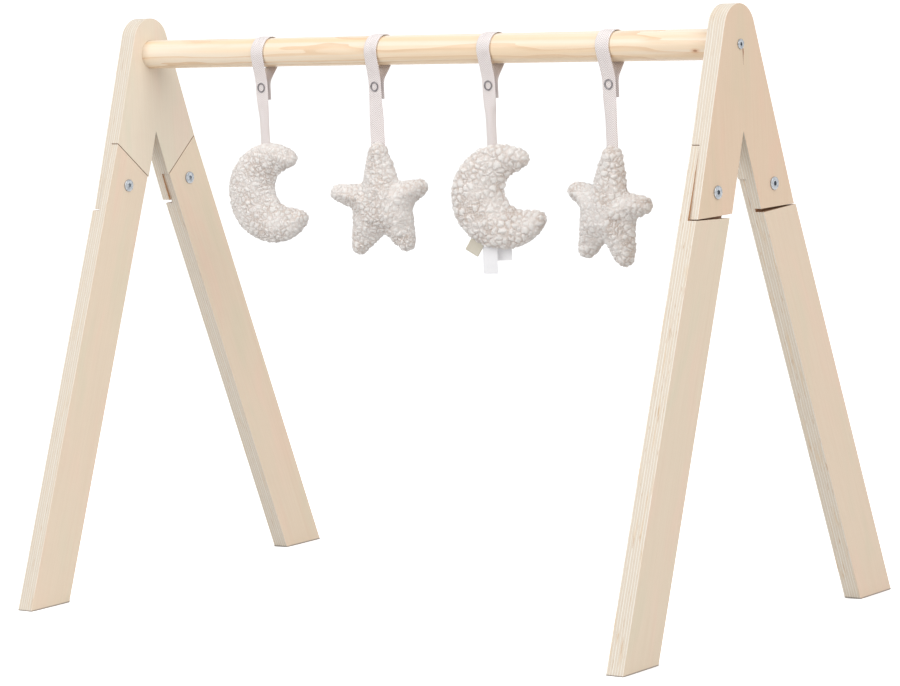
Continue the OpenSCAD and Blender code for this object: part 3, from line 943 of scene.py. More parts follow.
@dataclass
class AFrame:
    """One plywood A-frame: a head and two legs with eased edges."""

    side: Side
    inner_face: float
    thickness: float
    lean: float = math.radians(20)
    ease: float = 2.6 * MM
    rim_ease: float = 0.38
    joint_ease: float = 0.12
    foot_level: float = 0.1 * MM
    top_above: float = 0.53
    lap_heights: tuple[float, float] = (0.33, 0.48)
    crack_at: tuple[float, float] = (0.0040, 0.5238)

    def eased(self, node: str, material: bpy.types.Material) -> bpy.types.Object:
        """Copies a CAD panel and rounds its edges, the lap joint's less than the rest.

        Args:
            node: The CAD node.
            material: The panel's plywood.

        Returns:
            The eased piece.
        """
        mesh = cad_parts[node].data.copy()
        work = bmesh.new()
        work.from_mesh(mesh)
        bmesh.ops.remove_doubles(work, verts=work.verts, dist=1e-6)
        bmesh.ops.dissolve_limit(work, angle_limit=math.radians(0.5), verts=work.verts, edges=work.edges)
        bmesh.ops.recalc_face_normals(work, faces=work.faces)
        weight = work.edges.layers.float.new("bevel_weight_edge")
        for edge in work.edges:
            if edge.calc_face_angle(0.0) > math.radians(30):
                edge[weight] = self.edge_weight(edge)
        # Which faces get painted shade: 1 inside the lap joint, 0.7 on sawn faces that face up or down.
        inside = work.faces.layers.float.new("joint")
        for face in work.faces:
            middle = face.calc_center_median()
            deep = abs(middle.x) - self.inner_face
            lap = abs(face.normal.x) > 0.9 and 1 * MM < deep < self.thickness - 1 * MM
            sawn = abs(face.normal.z) > 0.5 and self.lap_heights[0] < middle.z < self.lap_heights[1]
            face[inside] = 1.0 if lap else 0.7 * sawn
        work.to_mesh(mesh)
        work.free()
        piece = as_object(f"{node}_ply", mesh, material)
        bevel = piece.modifiers.new("ease", "BEVEL")
        bevel.limit_method = "WEIGHT"
        bevel.width = self.ease
        bevel.segments = 3
        piece = baked(piece)
        smooth(piece.data, math.radians(30))
        shade = piece.modifiers.new("shade", "WEIGHTED_NORMAL")
        shade.keep_sharp = True
        return baked(piece)

    def edge_weight(self, edge: bmesh.types.BMEdge) -> float:
        """How much of the full easing an edge gets.

        Args:
            edge: The edge to judge.

        Returns:
            The share, from 0 to 1.
        """
        faces = (self.inner_face, self.inner_face + self.thickness)
        depth = [abs(vert.co.x) for vert in edge.verts]
        foot = max(vert.co.z for vert in edge.verts) < self.foot_level
        if foot and abs(depth[0] - depth[1]) > 1 * MM:
            return 1.0
        on_face = all(min(abs(x - face) for face in faces) < 1e-5 for x in depth)
        normals = [face.normal for face in edge.link_faces]
        joint = any(abs(normal.z) > 0.5 and abs(normal.x) < 0.5 for normal in normals)
        round_top = min(vert.co.z for vert in edge.verts) > self.top_above
        return self.rim_ease if on_face and (round_top or foot or not joint) else self.joint_ease

    def build(self) -> None:
        """Builds the A-frame's three panels."""
        word = self.side.name.lower()
        head = f"{word}_head"
        split = None
        if self.side is Side.RIGHT:
            split = (self.inner_face + self.thickness, *self.crack_at)
        wood = Plywood(f"ply_{head}", inner_face=self.inner_face, thickness=self.thickness, split_at=split,
                       shift=0.3 * self.side.value, streaks=0.4, tone_and_painted_light=BOARD_TONE_AND_PAINTED_LIGHT[head])
        hand_in(self.eased(head, wood.build()), "frame", "plywood", head)
        for place, sign in (("front", -1), ("rear", 1)):
            leg = f"{word}_{place}_leg"
            wood = Plywood(f"ply_{leg}", inner_face=self.inner_face, thickness=self.thickness,
                           lean=-sign * self.lean, shift=0.11 * sign + 0.7 * self.side.value,
                           streaks=0.8 if self.side is Side.RIGHT else 0.4, tone_and_painted_light=BOARD_TONE_AND_PAINTED_LIGHT[leg])
            hand_in(self.eased(leg, wood.build()), "frame", "plywood", leg)


@dataclass
class RoundBar:
    """The pine bar with softly rounded ends."""

    radius: float
    height: float
    half: float
    ease: float = 1.2 * MM
    segments: int = 96

    def ring(self, x: float, radius: float) -> list[Point]:
        """Points round the bar at x."""
        turns = [math.tau * i / self.segments for i in range(self.segments)]
        return [(x, radius * math.cos(a), self.height + radius * math.sin(a)) for a in turns]

    def build(self) -> None:
        """Builds the bar."""
        profile = [(self.half, self.radius - self.ease)]
        for step in range(1, 5):
            turn = step * math.pi / 8
            profile.append((self.half - self.ease * (1 - math.cos(turn)),
                            self.radius - self.ease * (1 - math.sin(turn))))
        steps = 40
        inner = profile[-1][0]
        middle = [(inner - 2 * inner * i / steps, self.radius) for i in range(1, steps)]
        ends = [(-x, r) for x, r in reversed(profile)]
        rings = [self.ring(x, r) for x, r in profile + middle + ends]
        bar = lofted("pine_bar", rings, Pine("varnished_pine").build())
        hand_in(bar, "frame", "pine", "bar")


@dataclass
class Fastener:
    """A round flat head with a hex socket, on a plain shank. It points along +X."""

    name: str
    head_radius: float
    head_height: float
    shank_radius: float
    shank_length: float
    flats: float
    socket: float
    notch: float = 0.0
    segments: int = 48

    def ring(self, x: float, radius: float, hexed: bool = False, notched: bool = False) -> list[Point]:
        """Points of one ring, round or six-sided, with an optional notch at its top.

        Args:
            x: Distance along the axis.
            radius: Radius of the ring.
            hexed: Whether it is six-sided.
            notched: Whether it has a notch.

        Returns:
            The points in order.
        """
        points = []
        for i in range(self.segments):
            turn = math.tau * i / self.segments
            reach = radius
            if hexed:
                reach = radius / math.cos((turn + math.pi / 6) % (math.pi / 3) - math.pi / 6)
            if notched and self.notch and abs(turn - math.pi / 2) < 0.12:
                reach -= self.notch
            points.append((x, reach * math.cos(turn), reach * math.sin(turn)))
        return points

    def prototype(self) -> bpy.types.Object:
        """Builds the fastener about the origin, its head's underside at x = 0.

        Returns:
            The fastener.
        """
        top, edge = self.head_height, self.head_radius
        half = self.flats / 2
        ease = 0.35 * self.head_height
        rings = [self.ring(top - self.socket, half, hexed=True), self.ring(top - 0.12 * MM, half, hexed=True),
                 self.ring(top, half + 0.25 * MM, hexed=True)]
        for step in range(5):
            turn = step * math.pi / 8
            rings.append(self.ring(top - ease * (1 - math.cos(turn)), edge - ease * (1 - math.sin(turn)),
                                   notched=True))
        rings.append(self.ring(0.15 * MM, edge, notched=True))
        rings.append(self.ring(0.0, edge - 0.15 * MM, notched=True))
        rings.append(self.ring(0.0, self.shank_radius))
        rings.append(self.ring(-self.shank_length + 0.5 * MM, self.shank_radius))
        rings.append(self.ring(-self.shank_length, self.shank_radius - 0.5 * MM))
        return lofted(self.name, rings)

    def row(self, name: str, start: Point, step: Point, count: int, turn: float,
            material: bpy.types.Material) -> bpy.types.Object:
        """Sets equal fasteners along a line.

        Args:
            name: The piece's name.
            start: Where the first head's underside is.
            step: From one fastener to the next.
            count: How many there are.
            turn: Turn about Z, which is 0 for heads that face +X.
            material: Their metal.

        Returns:
            The row as one piece.
        """
        proto = self.prototype()
        seed = bpy.data.meshes.new(name)
        values = {"Prototype": proto, "Count": count, "Start": start, "Step": step, "Turn": turn,
                  "Material": material}
        piece = grown(name, ROW, seed, values)
        bpy.data.objects.remove(proto)
        return piece


@dataclass
class Hardware:
    """Leg bolts, their cap nuts, the bar's screws and the inserts in the bar."""

    outer_face: float
    inner_face: float
    bolt_y: float
    bolt_z: float
    bar_z: float

    def build(self) -> None:
        """Builds every visible fastener and finishes the hidden ones."""
        zinc = Metal("bright_zinc", roughness=0.28).build()
        bolt = Fastener("bolt", BOLT_HEAD_RADIUS, 1.6 * MM, 3.0 * MM, 12.0 * MM, 4.0 * MM, 3.0 * MM)
        nut = Fastener("nut", BOLT_HEAD_RADIUS, 1.6 * MM, 4.25 * MM, 15.0 * MM, 4.0 * MM, 1.4 * MM,
                       notch=1.1 * MM)
        screw = Fastener("screw", 4.5 * MM, 1.4 * MM, 2.5 * MM, 24.0 * MM, 3.0 * MM, 2.6 * MM)
        step = (0.0, 2 * self.bolt_y, 0.0)
        for side in Side:
            word, sign = side.name.lower(), side.value
            facing = 0.0 if sign > 0 else math.pi
            back = math.pi - facing
            at = (sign * self.outer_face, -self.bolt_y, self.bolt_z)
            piece = bolt.row(f"{word}_bolts", at, step, 2, facing, zinc)
            hand_in(piece, "frame", "zinc_steel", f"{word}_leg_bolts")
            at = (sign * self.inner_face, -self.bolt_y, self.bolt_z)
            piece = nut.row(f"{word}_cap_nuts", at, step, 2, back, zinc)
            hand_in(piece, "frame", "zinc_steel", f"{word}_leg_nuts")
        for side in Side:
            at = (side.value * self.outer_face, 0.0, self.bar_z)
            facing = 0.0 if side is Side.RIGHT else math.pi
            piece = screw.row(f"{side.name.lower()}_bar_screw", at, (0.0, 0.0, 0.0), 1, facing, zinc)
            hand_in(piece, "frame", "zinc_steel", "bar_screws")
        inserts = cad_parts["bar_inserts"]
        inserts.data.materials.clear()
        brass = Metal("turned_brass", 0.35, colour=srgb(214, 178, 96), cloud=srgb(190, 150, 74))
        inserts.data.materials.append(brass.build())


# ---------------------------------------------------------------- straps and snaps


def rounded_path(corners: list[Vector], radius: float, step: float) -> list[Vector]:
    """Draws a line through corners with its bends rounded, in even steps.

    Args:
        corners: The corners in (y, z).
        radius: Length of line that each rounding takes up on either side.
        step: Distance between the points.

    Returns:
        The points of the path, both ends included.
    """
    dense = [corners[0]]
    for before, here, after in zip(corners, corners[1:], corners[2:]):
        reach = min(radius, 0.45 * (here - before).length, 0.45 * (after - here).length)
        start = here + (before - here).normalized() * reach
        end = here + (after - here).normalized() * reach
        for i in range(7):
            t = i / 6
            dense.append((1 - t) ** 2 * start + 2 * t * (1 - t) * here + t * t * end)
    dense.append(corners[-1])
    lengths = np.cumsum([0.0] + [(b - a).length for a, b in zip(dense, dense[1:])])
    count = max(2, round(lengths[-1] / step))
    marks = np.linspace(0, lengths[-1], count + 1)
    flat = np.array(dense)
    return [Vector((np.interp(m, lengths, flat[:, 0]), np.interp(m, lengths, flat[:, 1]))) for m in marks]


def ease_in(value: float) -> float:
    """Smooth step of a value from 0 to 1."""
    t = min(max(value, 0.0), 1.0)
    return t * t * (3 - 2 * t)


@dataclass(frozen=True)
class Drape:
    """How a tape narrows, cups, turns and strays sideways on its way down."""

    share: float = 1.0
    cup: float = 0.0
    turn: float = 0.0
    stray: float = 0.0
    start: float = 0.487
    end: float = 0.460
    stray_top: float = 0.543
    stray_foot: float = 0.494

    def at(self, height: float) -> tuple[float, float, float, float]:
        """Share of the full width, cupping, turn and sideways shift at a height.

        Args:
            height: Height in metres.

        Returns:
            The four values.
        """
        t = ease_in((self.start - height) / (self.start - self.end))
        aside = ease_in((height - self.stray_foot) / (self.stray_top - self.stray_foot))
        return 1 + (self.share - 1) * t, self.cup * t, self.turn * t, self.stray * aside


@dataclass
class Tape:
    """A flat woven tape along a path in a plane of constant X, with its own UV map in metres."""

    name: str
    x: float
    path: list[Vector]
    width: float
    thickness: float
    run: float = 0.0
    drape: Drape = Drape()
    columns: int = 12
    rim: float = 0.35

    def build(self, material: bpy.types.Material) -> bpy.types.Object:
        """Builds the tape as a closed thin solid.

        Args:
            material: The tape's cloth.

        Returns:
            The new object.
        """
        work = bmesh.new()
        uv = work.loops.layers.uv.new("cloth")
        count = len(self.path)
        rows, places = [], {}
        along = self.run
        for i, here in enumerate(self.path):
            if i:
                along += (here - self.path[i - 1]).length
            share, cup, turn, aside = self.drape.at(here.y)
            ahead = (self.path[min(i + 1, count - 1)] - self.path[max(i - 1, 0)]).normalized()
            out = Vector((-ahead.y, ahead.x))
            row = []
            for top in (1, -1):
                line = []
                for k in range(self.columns + 1):
                    s = 2 * k / self.columns - 1
                    edge = 1 - (1 - self.rim) * max(0.0, abs(s) - 0.86) / 0.14
                    across = s * self.width / 2 * share
                    lift = cup * (s * s - 0.4) + top * self.thickness / 2 * edge
                    offset = Vector((across, lift * out.x, lift * out.y))
                    offset.rotate(Matrix.Rotation(turn, 3, "Z"))
                    vert = work.verts.new(Vector((self.x + aside, here.x, here.y)) + offset)
                    places[vert] = (s * self.width / 2, along)
                    line.append(vert)
                row.append(line)
            rows.append(row)
        sides = []
        for first, second in zip(rows, rows[1:]):
            for layer in (0, 1):
                for k in range(self.columns):
                    sides.append((first[layer][k], first[layer][k + 1],
                                  second[layer][k + 1], second[layer][k]))
            for k in (0, self.columns):
                sides.append((first[0][k], second[0][k], second[1][k], first[1][k]))
        for row in (rows[0], rows[-1]):
            for k in range(self.columns):
                sides.append((row[0][k], row[0][k + 1], row[1][k + 1], row[1][k]))
        for corners in sides:
            face = work.faces.new(corners)
            for loop in face.loops:
                loop[uv].uv = places[loop.vert]
        bmesh.ops.recalc_face_normals(work, faces=work.faces)
        mesh = bpy.data.meshes.new(self.name)
        work.to_mesh(mesh)
        work.free()
        smooth(mesh, math.radians(60))
        return as_object(self.name, mesh, material)

    @property
    def length(self) -> float:
        """Length of the path."""
        return sum((b - a).length for a, b in zip(self.path, self.path[1:]))


@dataclass
class Strap:
    """One ribbon strap with its snap, from the toy over the bar to the end of its tail."""

    number: int
    x: float
    bar_radius: float
    bar_z: float
    toy_top: float
    drape: Drape
    width: float = 15.0 * MM
    cad_thickness: float = 1.4 * MM
    thickness: float = 1.1 * MM
    clearance: float = 0.4 * MM
    front_y: float = -8.0 * MM
    tail_y: float = -3.5 * MM
    snap_z: float = 0.494
    tail_end: float = 0.482
    fold_z: float = 0.4805
    bend_up: float = 6.0 * MM
    fold_reach: float = 5.0 * MM
    lower_start: float = 12.0 * MM
    ring_radii: tuple[float, float] = (4.75 * MM, 3.35 * MM)
    ring_height: float = 0.7 * MM
    cup_radius: float = 4.5 * MM
    mouth_radius: float = 2.8 * MM
    stud_radius: float = 4.0 * MM
    post_radius: float = 1.6 * MM
    step: float = 1.1 * MM

    @property
    def ring(self) -> float:
        """Radius of the ribbon's middle round the bar."""
        return self.bar_radius + self.clearance + self.cad_thickness / 2

    def touch(self, y: float, turn: int) -> float:
        """Angle at which a band that bends at y leaves the bar."""
        bend = Vector((y, self.snap_z + self.bend_up - self.bar_z))
        return math.atan2(bend.y, bend.x) + turn * math.acos(self.ring / bend.length)

    def arc(self, start: float, end: float) -> list[Vector]:
        """Points of the ribbon round the bar between two angles.

        Args:
            start: First angle in radians.
            end: Last angle in radians.

        Returns:
            The points in order.
        """
        count = max(2, round(abs(end - start) * self.ring / self.step))
        turns = [start + (end - start) * i / count for i in range(count + 1)]
        return [Vector((self.ring * math.cos(a), self.bar_z + self.ring * math.sin(a))) for a in turns]

    def bands(self, cloth: bpy.types.Material) -> None:
        """Builds the front band, the tail and the lower length.

        Args:
            cloth: The ribbon's material.
        """
        top = math.pi / 2
        front = self.touch(self.front_y, -1) + math.tau
        back = self.touch(self.tail_y, 1)
        bend_z = self.snap_z + self.bend_up
        cut = self.fold_z - self.lower_start
        straight = [Vector((self.front_y, bend_z)), Vector((self.front_y, cut))]
        over = self.arc(top, front)
        path = over[:-1] + rounded_path([over[-1]] + straight, 5 * MM, self.step)
        tape = Tape(f"ribbon_front_{self.number}", self.x, path, self.width, self.thickness, drape=self.drape)
        piece = tape.build(cloth)
        self.dress(piece, tape, f"strap_{self.number}", f"lower_strap_{self.number}",
                   f"strap_loop_{self.number}")
        over = self.arc(top, back)
        straight = [Vector((self.tail_y, bend_z)), Vector((self.tail_y, self.tail_end))]
        path = over[:-1] + rounded_path([over[-1]] + straight, 5 * MM, self.step)
        tape = Tape(f"ribbon_tail_{self.number}", self.x, path, self.width, self.thickness, run=0.4,
                    drape=Drape(stray=self.drape.stray))
        piece = tape.build(cloth)
        self.dress(piece, tape, f"strap_{self.number}", f"tail_{self.number}",
                   f"strap_tail_{self.number}")
        end = self.toy_top - 4.5 * MM
        path = rounded_path([Vector((self.front_y, cut)), Vector((self.front_y, end))], 1 * MM, self.step)
        tape = Tape(f"ribbon_lower_{self.number}", self.x, path, self.width, self.thickness, run=0.2,
                    drape=self.drape)
        piece = tape.build(cloth)
        self.dress(piece, tape, f"lower_strap_{self.number}", f"toy_{self.number}",
                   f"strap_lower_{self.number}")

    def dress(self, piece: bpy.types.Object, tape: Tape, first: str, second: str,
              node: str) -> None:
        """Args:
            piece: The band's mesh.
            tape: The tape that it was made from.
            first: The body above the joint.
            second: The body below it.
            node: The CAD node that the band replaces.
        """
        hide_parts(node)
        tape.length
        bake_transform(piece)
        log.info("%s: %.1f mm of ribbon, bends from %s to %s", piece.name, tape.length / MM, first, second)

    def disc(self, name: str, profile: list[tuple[float, float]],
             steel: bpy.types.Material) -> bpy.types.Object:
        """Turns a profile of (y, radius) about the snap's axis and closes both ends.

        Args:
            name: Name of the piece.
            profile: Pairs of y and radius.
            steel: Its material.

        Returns:
            The piece.
        """
        segments = 48
        turns = [math.tau * i / segments for i in range(segments)]
        rings = [[(self.x + r * math.cos(a), y, self.snap_z + r * math.sin(a)) for a in turns]
                 for y, r in profile]
        return lofted(name, rings, steel)

    def open_ring(self, name: str, low_y: float, steel: bpy.types.Material) -> bpy.types.Object:
        """A thin round-edged ring from low_y to low_y plus its thickness.

        Args:
            name: Name of the piece.
            low_y: Its lowest Y in metres.
            steel: Its material.

        Returns:
            The piece.
        """
        outer, inner = self.ring_radii
        thick = self.ring_height
        middle, half = (outer + inner) / 2, (outer - inner) / 2
        segments, around = 48, 12
        work = bmesh.new()
        rings = []
        for i in range(segments):
            turn = math.tau * i / segments
            ring = []
            for k in range(around):
                tilt = math.tau * k / around
                reach = middle + half * math.copysign(abs(math.cos(tilt)) ** 0.7, math.cos(tilt))
                y = low_y + thick / 2 + thick / 2 * math.copysign(abs(math.sin(tilt)) ** 0.7, math.sin(tilt))
                ring.append(work.verts.new((self.x + reach * math.cos(turn), y,
                                            self.snap_z + reach * math.sin(turn))))
            rings.append(ring)
        for i in range(segments):
            first, second = rings[i], rings[(i + 1) % segments]
            for k in range(around):
                j = (k + 1) % around
                work.faces.new((first[k], first[j], second[j], second[k]))
        bmesh.ops.recalc_face_normals(work, faces=work.faces)
        mesh = bpy.data.meshes.new(name)
        work.to_mesh(mesh)
        work.free()
        smooth(mesh, math.radians(70))
        return as_object(name, mesh, steel)

    def snap(self, steel: bpy.types.Material) -> None:
        """Builds the snap: front ring, socket, stud and back ring.

        Args:
            steel: The snap's material.
        """
        n = self.number
        for place, body in (("front", "strap"), ("back", "tail")):
            node = f"snap_ring_{place}_{n}"
            ring = self.open_ring(f"snap_{place}_{n}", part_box(node)[0].y, steel)
            hand_in(ring, f"{body}_{n}", "snap_metal", node)
        low, high = (corner.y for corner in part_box(f"snap_socket_{n}"))
        wide, mouth, ease = self.cup_radius, self.mouth_radius, 0.4 * MM
        profile = [(low, wide - ease), (low + 0.3 * ease, wide - 0.3 * ease), (low + ease, wide),
                   (high - ease, wide), (high - 0.3 * ease, wide - 0.3 * ease), (high, wide - ease),
                   (high, mouth + 0.5 * ease), (high - 0.5 * ease, mouth), (high - 1.5 * MM, mouth)]
        cup = self.disc(f"snap_cup_{n}", profile, steel)
        hand_in(cup, f"strap_{n}", "snap_metal", f"snap_socket_{n}")
        low, high = (corner.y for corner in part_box(f"snap_stud_{n}"))
        shelf = high - 0.6 * MM
        wide, post, ease = self.stud_radius, self.post_radius, 0.2 * MM
        profile = [(high, wide - ease), (high - ease, wide), (shelf + 0.1 * MM, wide), (shelf, wide - ease),
                   (shelf, post), (low + 0.5 * MM, post - 0.25 * MM), (low + 0.35 * MM, post),
                   (low + 0.1 * MM, post - 0.1 * MM), (low, post - 0.5 * MM)]
        stud = self.disc(f"snap_stud_{n}_turned", profile, steel)
        hand_in(stud, f"tail_{n}", "snap_metal", f"snap_stud_{n}")

    def build(self, cloth: bpy.types.Material, steel: bpy.types.Material) -> None:
        """Builds the strap and its snap."""
        self.bands(cloth)
        self.snap(steel)


# ---------------------------------------------------------------- plush toys


def arc_points(centre: Vector, radius: float, start: float, end: float, count: int) -> list[Vector]:
    """Points on an arc, both ends included, with angles in degrees."""
    turns = [math.radians(start + (end - start) * i / count) for i in range(count + 1)]
    return [centre + radius * Vector((math.cos(a), math.sin(a))) for a in turns]


@dataclass
class Plush:
    """A stuffed toy: two cloth panels sewn round their outline, blown up and covered with pile."""

    number: int
    shape: Shape
    hang: Vector
    yaw: float
    tilt: float
    aside: float
    drop: float
    tuft: float = 3.6 * MM
    horns: tuple[float, float] = (44.0, 44.0)
    nudges: tuple[tuple[float, float], ...] = ((0.0, 0.0),) * 5
    pile: float = 1.5 * MM
    half: float = 12.0 * MM
    spacing: float = 2.8 * MM
    voxel: float = 0.5 * MM
    moon_radius: float = 49.0
    horn_radius: float = 9.0
    hollow_x: float = 21.5
    hollow_radius: float = 17.5
    star_tips: tuple[tuple[float, float], ...] = ((0, 45), (-41, 9), (-23, -43), (23, -43), (41, 9))
    star_dents: tuple[tuple[float, float], ...] = ((-20, 18), (-33, -8), (0, -34), (33, -8), (20, 18))
    top_tip: float = 10.5
    other_tips: float = 9.2
    body: bpy.types.Object | None = field(default=None, repr=False)

    def outline(self) -> list[Vector]:
        """The seam's line in the toy's own plane, x to the right and y up, in metres."""
        raw = self.moon() if self.shape is Shape.MOON else self.star()
        return [point * MM for point in raw]

    def moon(self) -> list[Vector]:
        """Crescent with two blunt horns, open to the right, in millimetres.

        Returns:
            The outline.
        """
        inset = self.pile / MM
        radius, horn = self.moon_radius, self.horn_radius
        above, below = self.horns

        def on_arc(turn: float) -> Vector:
            """Middle of a horn's tip."""
            return Vector((math.cos(math.radians(turn)), math.sin(math.radians(turn)))) * (radius - horn)

        hollow = Vector((self.hollow_x, 0))
        points = arc_points(Vector((0, 0)), radius - inset, above, 360 - below, 40)
        points += arc_points(on_arc(-below), horn - inset, -below, 84, 8)[1:]
        points += arc_points(hollow, self.hollow_radius + inset, 262, 98, 18)
        points += arc_points(on_arc(above), horn - inset, -84, above, 8)[:-1]
        return points

    def star(self) -> list[Vector]:
        """Five blunt points, in millimetres.

        Returns:
            The outline.
        """
        inset = self.pile / MM
        tips = [Vector(tip) + Vector(nudge) for tip, nudge in zip(self.star_tips, self.nudges)]
        dents = [Vector(p) for p in self.star_dents]
        dents = [dent * (1 - 1.3 * inset / dent.length) for dent in dents]
        points: list[Vector] = []
        for k, tip in enumerate(tips):
            reach = (self.top_tip if k == 0 else self.other_tips) - inset
            before, after = dents[k - 1] - tip, dents[k] - tip
            start = math.atan2(before.y, before.x) + math.acos(reach / before.length)
            end = math.atan2(after.y, after.x) - math.acos(reach / after.length)
            end += math.tau * math.ceil((start - end) / math.tau)
            points += arc_points(tip, reach, math.degrees(start), math.degrees(end), 8)
            nxt = tips[(k + 1) % 5] - dents[k]
            back = (tip - dents[k]).normalized() * 5
            ahead = nxt.normalized() * 5
            points += [dents[k] + back * 0.6 + ahead * 0.1, dents[k] + (back + ahead) * 0.22,
                       dents[k] + back * 0.1 + ahead * 0.6]
        return points

    def resampled(self, points: list[Vector]) -> list[Vector]:
        """The outline in even steps.

        Args:
            points: The closed outline.

        Returns:
            The new points.
        """
        loop = np.array([tuple(p) for p in points + [points[0]]])
        lengths = np.concatenate([[0.0], np.cumsum(np.linalg.norm(np.diff(loop, axis=0), axis=1))])
        count = round(lengths[-1] / self.spacing)
        marks = np.linspace(0, lengths[-1], count, endpoint=False)
        return [Vector((np.interp(m, lengths, loop[:, 0]), np.interp(m, lengths, loop[:, 1]))) for m in marks]

    def place(self) -> Matrix:
        """From the toy's own plane to where it hangs."""
        return (Matrix.Translation(self.hang) @ Matrix.Rotation(self.yaw, 4, "Z")
                @ Matrix.Translation((self.aside, 0, -self.drop)) @ Matrix.Rotation(-self.tilt, 4, "Y"))

    def sewn(self) -> bpy.types.Object:
        """Two panels of flat cloth sewn round the outline, padded a little, in the toy's own plane.

        Returns:
            The shell before it is blown up.
        """
        rim = self.resampled(self.outline())
        loop = np.array([tuple(p) for p in rim])
        ends = np.roll(loop, -1, axis=0)

        def to_rim(p: np.ndarray) -> float:
            """Distance from a point to the seam.

            Args:
                p: The point.

            Returns:
                The distance.
            """
            along = ends - loop
            t = np.clip(((p - loop) * along).sum(1) / (along ** 2).sum(1), 0, 1)
            return float(np.linalg.norm(loop + along * t[:, None] - p, axis=1).min())

        def inside(p: np.ndarray) -> bool:
            """Whether a point lies inside the seam.

            Args:
                p: The point.

            Returns:
                True inside.
            """
            crosses = (loop[:, 1] > p[1]) != (ends[:, 1] > p[1])
            with np.errstate(divide="ignore", invalid="ignore"):
                at = loop[:, 0] + (p[1] - loop[:, 1]) / (ends[:, 1] - loop[:, 1]) * (ends[:, 0] - loop[:, 0])
            return bool((crosses & (p[0] < at)).sum() % 2)

        points = list(rim)
        depth = [0.0] * len(rim)
        low, high = loop.min(0), loop.max(0)
        rows = int((high[1] - low[1]) / (self.spacing * 0.866)) + 1
        columns = int((high[0] - low[0]) / self.spacing) + 1
        for j in range(rows):
            for i in range(columns):
                p = np.array([low[0] + (i + 0.5 * (j % 2)) * self.spacing, low[1] + j * self.spacing * 0.866])
                if inside(p):
                    far = to_rim(p)
                    if far > 0.62 * self.spacing:
                        points.append(Vector(p))
                        depth.append(far)
        faces = geometry.delaunay_2d_cdt(points, [], [list(range(len(rim)))], 1, 1e-7)[2]
        work = bmesh.new()
        full = 15.0 * MM
        front, back = [], []
        for point, far in zip(points, depth):
            share = math.sqrt(1 - (1 - min(far / full, 1)) ** 2)
            lift = 0.72 * self.half * share + 0.05 * far
            front.append(work.verts.new((point.x, -lift, point.y)))
        for vert, far in zip(front[:], depth):
            back.append(vert if far == 0 else work.verts.new((vert.co.x, -vert.co.y, vert.co.z)))
        for a, b, c in faces:
            work.faces.new((front[a], front[b], front[c]))
            work.faces.new((back[a], back[c], back[b]))
        bmesh.ops.recalc_face_normals(work, faces=work.faces)
        mesh = bpy.data.meshes.new(f"{self.shape.value}_body_{self.number}")
        work.to_mesh(mesh)
        work.free()
        body = as_object(mesh.name, mesh)
        seam = body.vertex_groups.new(name="seam")
        seam.add(list(range(len(rim))), 1.0, "REPLACE")
        return body

    def finish(self, cloth: bpy.types.Material) -> None:
        """Gives the blown-up body its pile, hangs it in place, rides it on its toy and hides the CAD nodes
        that it replaces.

        Args:
            cloth: The teddy cloth.
        """
        body = self.body
        rounder = body.modifiers.new("round", "SUBSURF")
        rounder.levels = rounder.render_levels = 2
        dense = body.modifiers.new("dense", "REMESH")
        dense.mode = "VOXEL"
        dense.voxel_size = self.voxel
        relax = body.modifiers.new("relax", "SMOOTH")
        relax.factor = 0.5
        relax.iterations = 4
        body = baked(body)
        body.data.transform(self.place())
        mesh = body.data.copy()
        bpy.data.objects.remove(body)
        name = f"{self.shape.value}_plush_{self.number}"
        values = {"Seed": 3.1 * self.number, "Tuft Size": self.tuft, "Tuft Height": 0.34 * self.tuft,
                  "Curl Size": 0.42 * self.tuft, "Material": cloth}
        piece = grown(name, PILE, mesh, values)
        for face in piece.data.polygons:
            face.use_smooth = True
        nodes = [f"{self.shape.value}_{layer}_{self.number}" for layer in ("front", "back", "filling")]
        hand_in(piece, f"toy_{self.number}", "teddy_cloth", *nodes)


